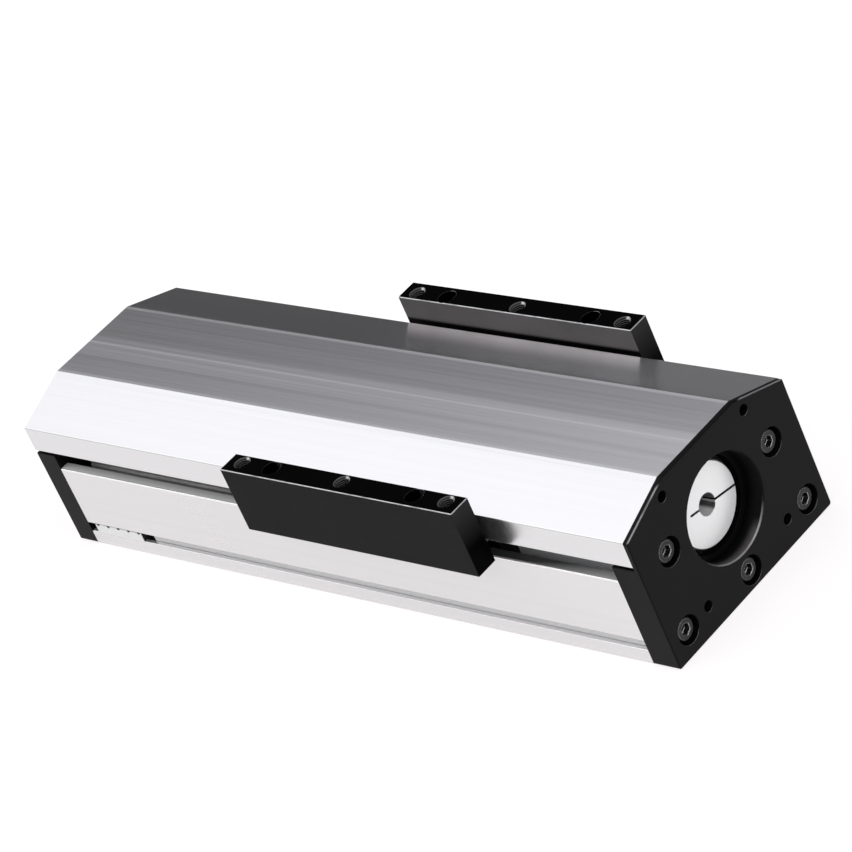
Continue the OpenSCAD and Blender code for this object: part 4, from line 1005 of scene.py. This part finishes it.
def make_floor():
    """A square, FLOOR_DROP below the feet."""
    mesh = bpy.data.meshes.new("floor")
    signs = [(-1, -1), (1, -1), (1, 1), (-1, 1)]
    corners = [(x * FLOOR_HALF, y * FLOOR_HALF, -FLOOR_DROP) for x, y in signs]
    mesh.from_pydata(corners, [], [(0, 1, 2, 3)])
    material = bpy.data.materials.new("floor_paper")
    material.use_nodes = True
    tree = material.node_tree
    tree.nodes.clear()
    output = add(tree, "OutputMaterial")
    paper = add(tree, "BsdfDiffuse", {"Color": PAPER}).outputs[0]
    dim_paper = add(tree, "BsdfDiffuse", {"Color": DIM_PAPER}).outputs[0]
    glow = add(tree, "Emission", {"Color": GLOW_COLOUR, "Strength": FLOOR_GLOW}).outputs[0]
    ray = add(tree, "LightPath").outputs
    near = falling(tree, parts_of(tree, place(tree))[1], *FLOOR_FADE, smooth=True)
    lit = largest(tree, ray["Is Camera Ray"], near)
    glow = add(tree, "MixShader", {0: lit, 2: glow}).outputs[0]
    seen = add(tree, "AddShader", {0: dim_paper, 1: glow}).outputs[0]
    looking = largest(tree, ray["Is Camera Ray"], ray["Is Glossy Ray"], ray["Is Transmission Ray"])
    both = add(tree, "MixShader", {0: looking, 1: paper, 2: seen}).outputs[0]
    tree.links.new(both, output.inputs["Surface"])
    mesh.materials.append(material)
    floor = put_in_scene("floor", mesh)
    return floor


print("made the", make_floor().name)

# %% [markdown]
# ## Room
# Satin metal shows the part of the room that each of its faces mirrors, so the room
# needs a gradient more than it needs lamps. It is dark near the horizon, bright high
# up and dimmer again right overhead, as under one large softbox. Behind the module it
# stays dark up to half its height, and all of it is dimmer toward the motor end.

# %% Room light
KNOTS = [0.0, 0.12, 0.25, 0.38, 0.50, 0.62, 0.80, 1.0]
FRONT_SKY = [0.15, 0.20, 0.30, 0.60, 1.0, 1.33, 1.40, 0.40]
BACK_SKY = [0.01, 0.02, 0.02, 0.02, 0.12, 1.04, 0.82, 0.40]
FRONT_TINT = (0.99, 0.99, 1.01)
BACK_TINT = (0.98, 0.98, 1.04)
BEHIND = (-0.10, 0.40)
MOTOR_SIDE = (-0.35, 0.45, 1.0, 0.72)


def rising_ramp(tree, rise, levels, shade):
    """A grey that goes through levels as the sine of the elevation goes through KNOTS."""
    ramp = add(tree, "ValToRGB", {0: rise})
    stops = ramp.color_ramp.elements
    while len(stops) < len(KNOTS):
        stops.new(0.5)
    for stop, position, value in zip(stops, KNOTS, levels):
        stop.position = position
        stop.color = (*[value * part for part in shade], 1)
    return ramp.outputs[0]


def make_sky():
    """A world with one gradient in front of the module and one behind it, both dimmer
    toward the motor end."""
    world = bpy.data.worlds.new("studio")
    bpy.context.scene.world = world
    world.use_nodes = True
    sky = world.node_tree
    along, across, rise = parts_of(sky, add(sky, "TexCoord").outputs["Generated"])
    front = rising_ramp(sky, rise, FRONT_SKY, FRONT_TINT)
    back = rising_ramp(sky, rise, BACK_SKY, BACK_TINT)
    light = tint(sky, rising(sky, across, *BEHIND, smooth=True), front, back)
    background = sky.nodes["Background"].inputs
    sky.links.new(light, background["Color"])
    sky.links.new(spread(sky, along, *MOTOR_SIDE, smooth=True), background["Strength"])


make_sky()
print("room light levels, front:", FRONT_SKY, "back:", BACK_SKY)

# %% [markdown]
# ## Lamps
# Four large softboxes add what the room can't: an even light on faces that scatter,
# such as the floor, the sensor and the black blocks. Large lamps give soft shadows, and
# the strongest one faces the motor end, whose black face would swallow a weaker one.

# %% Set up the lamps
MIDDLE = Vector((0, 0, 0.03))
LAMPS = [  # name, position, side in metres, power in watts
    ("overhead_softbox", (-0.3, -0.4, 1.9), 1.6, 3.0),
    ("front_softbox", (1.3, -1.6, 0.9), 1.8, 5.0),
    ("end_softbox", (1.9, 0.1, 0.9), 1.6, 14.0),
    ("idle_softbox", (-1.52, -1.12, 1.16), 1.3, 3.5),
]
for name, position, side, power in LAMPS:
    lamp = bpy.data.lights.new(name, "AREA")
    lamp.shape = "SQUARE"
    lamp.size = side
    lamp.energy = power
    holder = put_in_scene(name, lamp)
    holder.location = position
    holder.rotation_euler = (MIDDLE - Vector(position)).to_track_quat("-Z", "Y").to_euler()
bpy.context.scene.view_settings.view_transform = "Standard"
